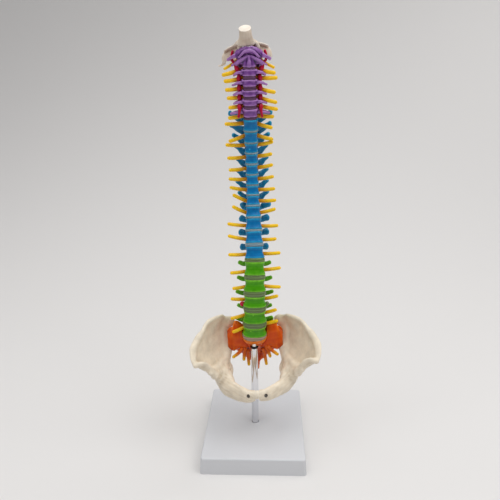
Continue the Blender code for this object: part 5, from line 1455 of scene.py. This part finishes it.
# %% [markdown]
# ## Grooves and cut faces of the hip
# The low bars of a hip are grooved where muscles were fixed. Noise stretched along one way makes such
# grooves, and it fades up the wing, which is smoother. Then the hip is cut by the sacrum's own skin,
# grown by a small gap, so that the two fit whatever their shape, and by a flat face and a screw hole at
# the pubis.

# %% Grooves and cuts
ROUGH_BELOW = 108.0     # height at which the grooves have faded
ROUGH_FADE = 16.0       # they are full by so much lower
GROOVE_WAY = (-0.76, -0.62, -0.17)      # the way that the grooves run
GROOVE_SIZE = 2.4
GROOVE_DEPTH = 0.45
GROOVE_STRETCH = 0.8    # 0 leaves the noise as it is, and 1 makes the grooves endless
LEAST_ROUGH = 0.2       # share of the grooves that is left high on the wing
HIP_GAP = 0.4
PUBIC_GAP = 3.2


def grooved(mesh, seed):
    """Fine grooves along the low bars of the hip, where muscles were fixed, fading out up the wing."""
    shift = Vector((seed * 3.7, seed * 1.9, seed * 5.3))
    way = Vector(GROOVE_WAY).normalized()

    def push(spot):
        """How far the skin moves in or out at a spot."""
        share = max(LEAST_ROUGH, min(1.0, (ROUGH_BELOW - spot.z) / ROUGH_FADE))
        along = spot.dot(way)
        return GROOVE_DEPTH * share * noise.noise((spot - way * along * GROOVE_STRETCH) / GROOVE_SIZE + shift)

    return pushed(mesh, push)


def hip_mesh(side):
    """One finished hip on the left side's coordinates. The screw's hole comes from the next cell."""
    skin = grooved(uneven(hip_skin(side), 9.0, 0.8, 4), side)
    room = pushed(sacrum_skin(), lambda spot: HIP_GAP)
    skin = combine(skin, room if side > 0 else turned_over(room), "DIFFERENCE")
    skin = combine(skin, box((-30, -80, 40), (PUBIC_GAP / 2 + SEAT_GAP, -20, 120)), "DIFFERENCE")
    return combine(skin, pubic_screw(SEAT_GAP), "DIFFERENCE")


print("the grooves are about", GROOVE_SIZE, "mm wide and", GROOVE_DEPTH, "mm deep")

# %% [markdown]
# ## Screws and disc of the pubis
# A small dark screw sits beside the joint at the front of each hip, in a hole of its own. Its head has a
# cross slot. One function makes the screw and its hole, with some spare size for the hole, so the two
# always fit. The disc between the two bones is cast in the bone colour.

# %% Make the screws, the disc and both hips
PUBIC_SCREW_RADIUS = 0.9
PUBIC_SCREW_HEAD = 1.7
PUBIC_SCREW_HEAD_HEIGHT = 1.2
PUBIC_SCREW_LENGTH = 5.0
PUBIC_SCREW_FACE = (9.4, -42.2, 81.4)
PUBIC_SCREW_AXIS = (0.25, -0.8, 0.55)
SLOT_REACH = 1.1
SLOT_HALF_WIDTH = 0.22
SLOT_DEPTH = 0.6


def pubic_screw(spare):
    """Screw beside the joint, or its hole when spare is more than nothing."""
    head_top = 6.0 if spare else 0.0
    head = cylinder(PUBIC_SCREW_HEAD + spare, -PUBIC_SCREW_HEAD_HEIGHT - spare, head_top, 32)
    shaft_top = -PUBIC_SCREW_HEAD_HEIGHT / 2
    shaft = cylinder(PUBIC_SCREW_RADIUS + spare, -PUBIC_SCREW_LENGTH - spare, shaft_top, 24)
    screw = combine(head, shaft, "UNION")
    if not spare:
        for wide, high in ((SLOT_REACH, SLOT_HALF_WIDTH), (SLOT_HALF_WIDTH, SLOT_REACH)):
            screw = combine(screw, box((-wide, -high, -SLOT_DEPTH), (wide, high, 1)), "DIFFERENCE")
    turn = Vector((0, 0, 1)).rotation_difference(Vector(PUBIC_SCREW_AXIS).normalized())
    screw.transform(Matrix.Translation(PUBIC_SCREW_FACE) @ turn.to_matrix().to_4x4())
    return screw


left_hip, left_screw = hip_mesh(1), pubic_screw(0)
right_hip, right_screw = turned_over(hip_mesh(-1)), turned_over(left_screw)
for name, hip, screw in (("left", left_hip, left_screw), ("right", right_hip, right_screw)):
    add_piece("moulded_hip_" + name, hip, bone_vinyl, ["hip_bone_" + name], pelvis_place())
    add_piece("small_screw_" + name, screw, dark_steel, ["pubic_screw_" + name],
              pelvis_place(), 35.0)

pubis = bmesh.new()
bar(pubis, [(-PUBIC_GAP / 2 + 1.2, -41.0, 82.0), (PUBIC_GAP / 2 - 1.2, -41.0, 82.0)], [(3.6, 5.0)] * 2,
    across=(0, 1, 0), sides=32)
add_piece("moulded_pubic_disc", mesh_of(pubis), bone_vinyl, ["pubic_disc"], pelvis_place())

# %% [markdown]
# ## Rod
# The rod is drawn and plated, with a small chamfer at each end and a blind hole in its top for its neck.
# It is a turned piece: a short profile of radius and height is carried round the axis. Enough sides keep
# the long highlights straight.

# %% Turn the rod
BASE_TURN = -2.7        # degrees the stand is turned against the pelvis
ROD_RADIUS = 4.0
BASE_HEIGHT = 19.2
ROD_SOCKET_DEPTH = 10.0
STUD_SOCKET = 6.0
LOW_CHAMFER = 0.3
TOP_CHAMFER = 0.4
TURN_SIDES = 96
stand = Matrix.Translation((ROD_SIDE, 0, 0)) @ Matrix.Rotation(math.radians(BASE_TURN), 4, "Z")


def turned(profile):
    """Closed solid of revolution from a profile of (radius, height), from the bottom up."""
    bm = bmesh.new()
    turns = [2 * math.pi * k / TURN_SIDES for k in range(TURN_SIDES)]
    loft(bm, [[Vector((radius * math.cos(a), radius * math.sin(a), z)) for a in turns]
              for radius, z in profile])
    return mesh_of(bm)


rod_low = BASE_HEIGHT - ROD_SOCKET_DEPTH + SEAT_GAP
rod = turned([(ROD_RADIUS - LOW_CHAMFER, rod_low), (ROD_RADIUS, rod_low + LOW_CHAMFER),
              (ROD_RADIUS, ROD_TOP - TOP_CHAMFER), (ROD_RADIUS - TOP_CHAMFER, ROD_TOP)])
rod = combine(rod, cylinder(STUD_RADIUS + SEAT_GAP, ROD_TOP - STUD_SOCKET, ROD_TOP + 1, 48), "DIFFERENCE")
add_piece("plated_rod", rod, chrome_plate, ["support_rod"], stand, 30.0)

# %% [markdown]
# ## Black ring
# A ring sits on the rod under the sacrum; its black is a painted reflection of the dark band at the chrome
# end. A torus would be round in section, but the ring is a little flatter, so an oval is carried round the
# axis, and the last row of faces closes on the first.

# %% Make the ring
RING_SIDES = 12


def ring_mesh():
    """Ring of oval section round the rod's neck."""
    low = ROD_TOP + SEAT_GAP
    half = WASHER_HEIGHT / 2
    middle_radius = (WASHER_RADIUS + STUD_RADIUS + SEAT_GAP) / 2
    tube_radius = (WASHER_RADIUS - STUD_RADIUS - SEAT_GAP) / 2
    turns = [2 * math.pi * k / RING_SIDES for k in range(RING_SIDES)]
    section = [(middle_radius + tube_radius * math.cos(a), low + half + half * math.sin(a)) for a in turns]
    bm = bmesh.new()
    rows = []
    for k in range(TURN_SIDES):
        swing = 2 * math.pi * k / TURN_SIDES
        rows.append([bm.verts.new((radius * math.cos(swing), radius * math.sin(swing), z))
                     for radius, z in section])
    for k in range(TURN_SIDES):
        for j in range(RING_SIDES):
            after = (j + 1) % RING_SIDES
            bm.faces.new((rows[k - 1][j], rows[k][j], rows[k][after], rows[k - 1][after]))
    return mesh_of(bm)


add_piece("black_ring", ring_mesh(), ring_painted_reflection, ["rod_washer"], stand)

# %% [markdown]
# ## Neck of the rod
# A thinner piece of the same steel goes on up from the rod, through the ring and into the sacrum. It is
# turned from a profile too, with a small chamfer at each end.

# %% Turn the rod's neck
STUD_CHAMFER = 0.3
stud_low = ROD_TOP - STUD_SOCKET + SEAT_GAP
stud = turned([(STUD_RADIUS - STUD_CHAMFER, stud_low), (STUD_RADIUS, stud_low + STUD_CHAMFER),
               (STUD_RADIUS, STUD_TOP - STUD_CHAMFER), (STUD_RADIUS - STUD_CHAMFER, STUD_TOP)])
add_piece("plated_neck", stud, chrome_plate, ["rod_stud"], stand, 30.0)

# %% [markdown]
# ## Base
# The base is a shallow tray turned upside down. Its walls lean in a little so that it leaves the mould,
# its edges are rounded, and ribs and a boss under it carry the rod. A bevel on the outer block gives the
# round edges.

# %% Make the base
BASE_WIDTH = 115.0
BASE_DEPTH = 135.3
BASE_SHIFT = -0.7
BASE_WALL = 2.4
BASE_CORNER = 3.0
BASE_EDGE = 1.6
BASE_DRAFT = 1.2
BASE_RIB = 2.0
BOSS_RADIUS = 9.0
SCREW_RADIUS = 2.0
SCREW_HEAD_HEIGHT = 2.4


def base_mesh():
    """Tray turned upside down, with two ribs and a boss under its roof."""
    outer = bmesh.new()
    corners = [(x * BASE_WIDTH / 2, y * BASE_DEPTH / 2) for x, y in ((-1, -1), (1, -1), (1, 1), (-1, 1))]
    rings = []
    for z, inset in ((0, 0), (BASE_HEIGHT, BASE_DRAFT)):
        rings.append([Vector((x - math.copysign(inset, x), y - math.copysign(inset, y), z))
                      for x, y in corners])
    loft(outer, rings)
    upright = [e for e in outer.edges if abs(e.verts[0].co.z - e.verts[1].co.z) > 1]
    bmesh.ops.bevel(outer, geom=upright, offset=BASE_CORNER, segments=8, affect="EDGES", profile=0.5)
    rim = [e for e in outer.edges if min(v.co.z for v in e.verts) > BASE_HEIGHT - 0.01]
    bmesh.ops.bevel(outer, geom=rim, offset=BASE_EDGE, segments=6, affect="EDGES", profile=0.5)
    mesh = mesh_of(outer)
    mesh.transform(Matrix.Translation((BASE_SHIFT, 0, 0)))
    inside_x = BASE_WIDTH / 2 - BASE_WALL - BASE_DRAFT
    inside_y = BASE_DEPTH / 2 - BASE_WALL - BASE_DRAFT
    roof = BASE_HEIGHT - BASE_WALL
    low_x, high_x = BASE_SHIFT - inside_x, BASE_SHIFT + inside_x
    boss_low = SCREW_HEAD_HEIGHT + 1
    mesh = combine(mesh, box((low_x, -inside_y, -1), (high_x, inside_y, roof)), "DIFFERENCE")
    for low, high in (((low_x - 0.2, -BASE_RIB / 2), (high_x + 0.2, BASE_RIB / 2)),
                      ((-BASE_RIB / 2, -inside_y - 0.2), (BASE_RIB / 2, inside_y + 0.2))):
        mesh = combine(mesh, box((*low, boss_low), (*high, roof + 0.2)), "UNION")
    mesh = combine(mesh, cylinder(BOSS_RADIUS, boss_low, roof + 0.2, 48), "UNION")
    low_hole = BASE_HEIGHT - ROD_SOCKET_DEPTH
    mesh = combine(mesh, cylinder(ROD_RADIUS + SEAT_GAP, low_hole, BASE_HEIGHT + 1, 64), "DIFFERENCE")
    return combine(mesh, cylinder(SCREW_RADIUS + SEAT_GAP, 0, low_hole + 1, 32), "DIFFERENCE")


add_piece("moulded_base", base_mesh(), base_abs, ["base_plate"], stand, 40.0)

# %% [markdown]
# ## Screw under the base
# The screw that holds the rod is hidden under the base, and its plain solid has the right shape already.
# So it stays, and only its finish changes.

# %% Finish the screw
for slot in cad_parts["base_screw"].material_slots:
    slot.material = dark_steel
print("the screw under the base is now", dark_steel.name)

# %% [markdown]
# ## Floor
# The picture has a seamless pale sweep, as in a photographer's studio: one sheet of paper that lies flat
# under the model and curves up far behind it. A floor and a wall would show a line where they meet.

# %% Lay the sweep
FLOOR_COLOUR = "#E0DEDC"
SWEEP_HALF_WIDTH = 4000.0
SWEEP_FRONT = -2500.0
SWEEP_BEND = 300.0              # where the paper starts to curve up
SWEEP_RADIUS = 2200.0
SWEEP_TOP = 3200.0
SWEEP_STEPS = 32


def sweep_mesh():
    """Floor that curves up into a wall behind."""
    bm = bmesh.new()
    turns = [math.pi / 2 * k / SWEEP_STEPS for k in range(1, SWEEP_STEPS + 1)]
    profile = [(SWEEP_FRONT, 0.0), (SWEEP_BEND, 0.0)]
    profile += [(SWEEP_BEND + SWEEP_RADIUS * math.sin(a), SWEEP_RADIUS - SWEEP_RADIUS * math.cos(a))
                for a in turns]
    profile.append((SWEEP_BEND + SWEEP_RADIUS, SWEEP_TOP))
    rows = [[bm.verts.new((x, y, z)) for x in (-SWEEP_HALF_WIDTH, SWEEP_HALF_WIDTH)] for y, z in profile]
    for low, high in zip(rows, rows[1:]):
        bm.faces.new((low[0], low[1], high[1], high[0]))
    mesh = mesh_of(bm)
    mesh.transform(Matrix.Scale(MM, 4))
    mesh.shade_smooth()
    return mesh


paper = new_finish("white_paper_sweep", {"Base Color": linear(FLOOR_COLOUR), "Roughness": 0.9,
                                         "Specular IOR Level": 0.2})[0]
sweep = bpy.data.objects.new("sweep", sweep_mesh())
sweep.data.materials.append(paper)
bpy.context.scene.collection.objects.link(sweep)
print("the sweep is", 2 * SWEEP_HALF_WIDTH * MM, "metres wide")

# %% [markdown]
# ## Light
# A large soft lamp above lights the model from the top, smaller ones fill it from both sides, and one
# lights the back of the sweep at the right, which is brighter in the picture. An even sky keeps the
# shadows open and every colour about as it is written. A studio's ceiling is dark beyond its lamps, so
# glossy surfaces see a darker sky.

# %% Hang the lamps and set the sky
SKY_COLOUR = "#E2E2E4"
SKY_FILL = 0.47
SKY_SEEN_IN_GLOSS = 0.12


def lamp(name, place, target, size, watts):
    """Square soft lamp that looks at a point."""
    light = bpy.data.lights.new(name, "AREA")
    light.size = size * MM
    light.energy = watts
    holder = bpy.data.objects.new(name, light)
    place, target = Vector(place) * MM, Vector(target) * MM
    turn = (place - target).to_track_quat("Z", "Y").to_matrix().to_4x4()
    holder.matrix_world = Matrix.Translation(place) @ turn
    bpy.context.scene.collection.objects.link(holder)


lamp("top_lamp", (50, -150, 1500), (0, 0, 200), 1700, 17.0)
lamp("left_lamp", (-1200, -500, 1300), (0, 0, 220), 700, 2.5)
lamp("right_lamp", (1000, -400, 1400), (0, 0, 220), 1000, 5.0)
lamp("wall_lamp", (1500, 1000, 1500), (1000, 2300, 600), 1000, 6.5)
world = bpy.data.worlds.new("studio")
world.use_nodes = True
sky = world.node_tree.nodes["Background"]
sky.inputs["Color"].default_value = linear(SKY_COLOUR)
mirrored = add_node(world.node_tree, "ShaderNodeLightPath").outputs["Is Glossy Ray"]
fill = add_node(world.node_tree, "ShaderNodeMapRange", inputs={"Value": mirrored, "To Min": SKY_FILL,
                                                               "To Max": SKY_SEEN_IN_GLOSS})
world.node_tree.links.new(fill.outputs["Result"], sky.inputs["Strength"])
bpy.context.scene.world = world
bpy.context.scene.view_settings.view_transform = "Standard"
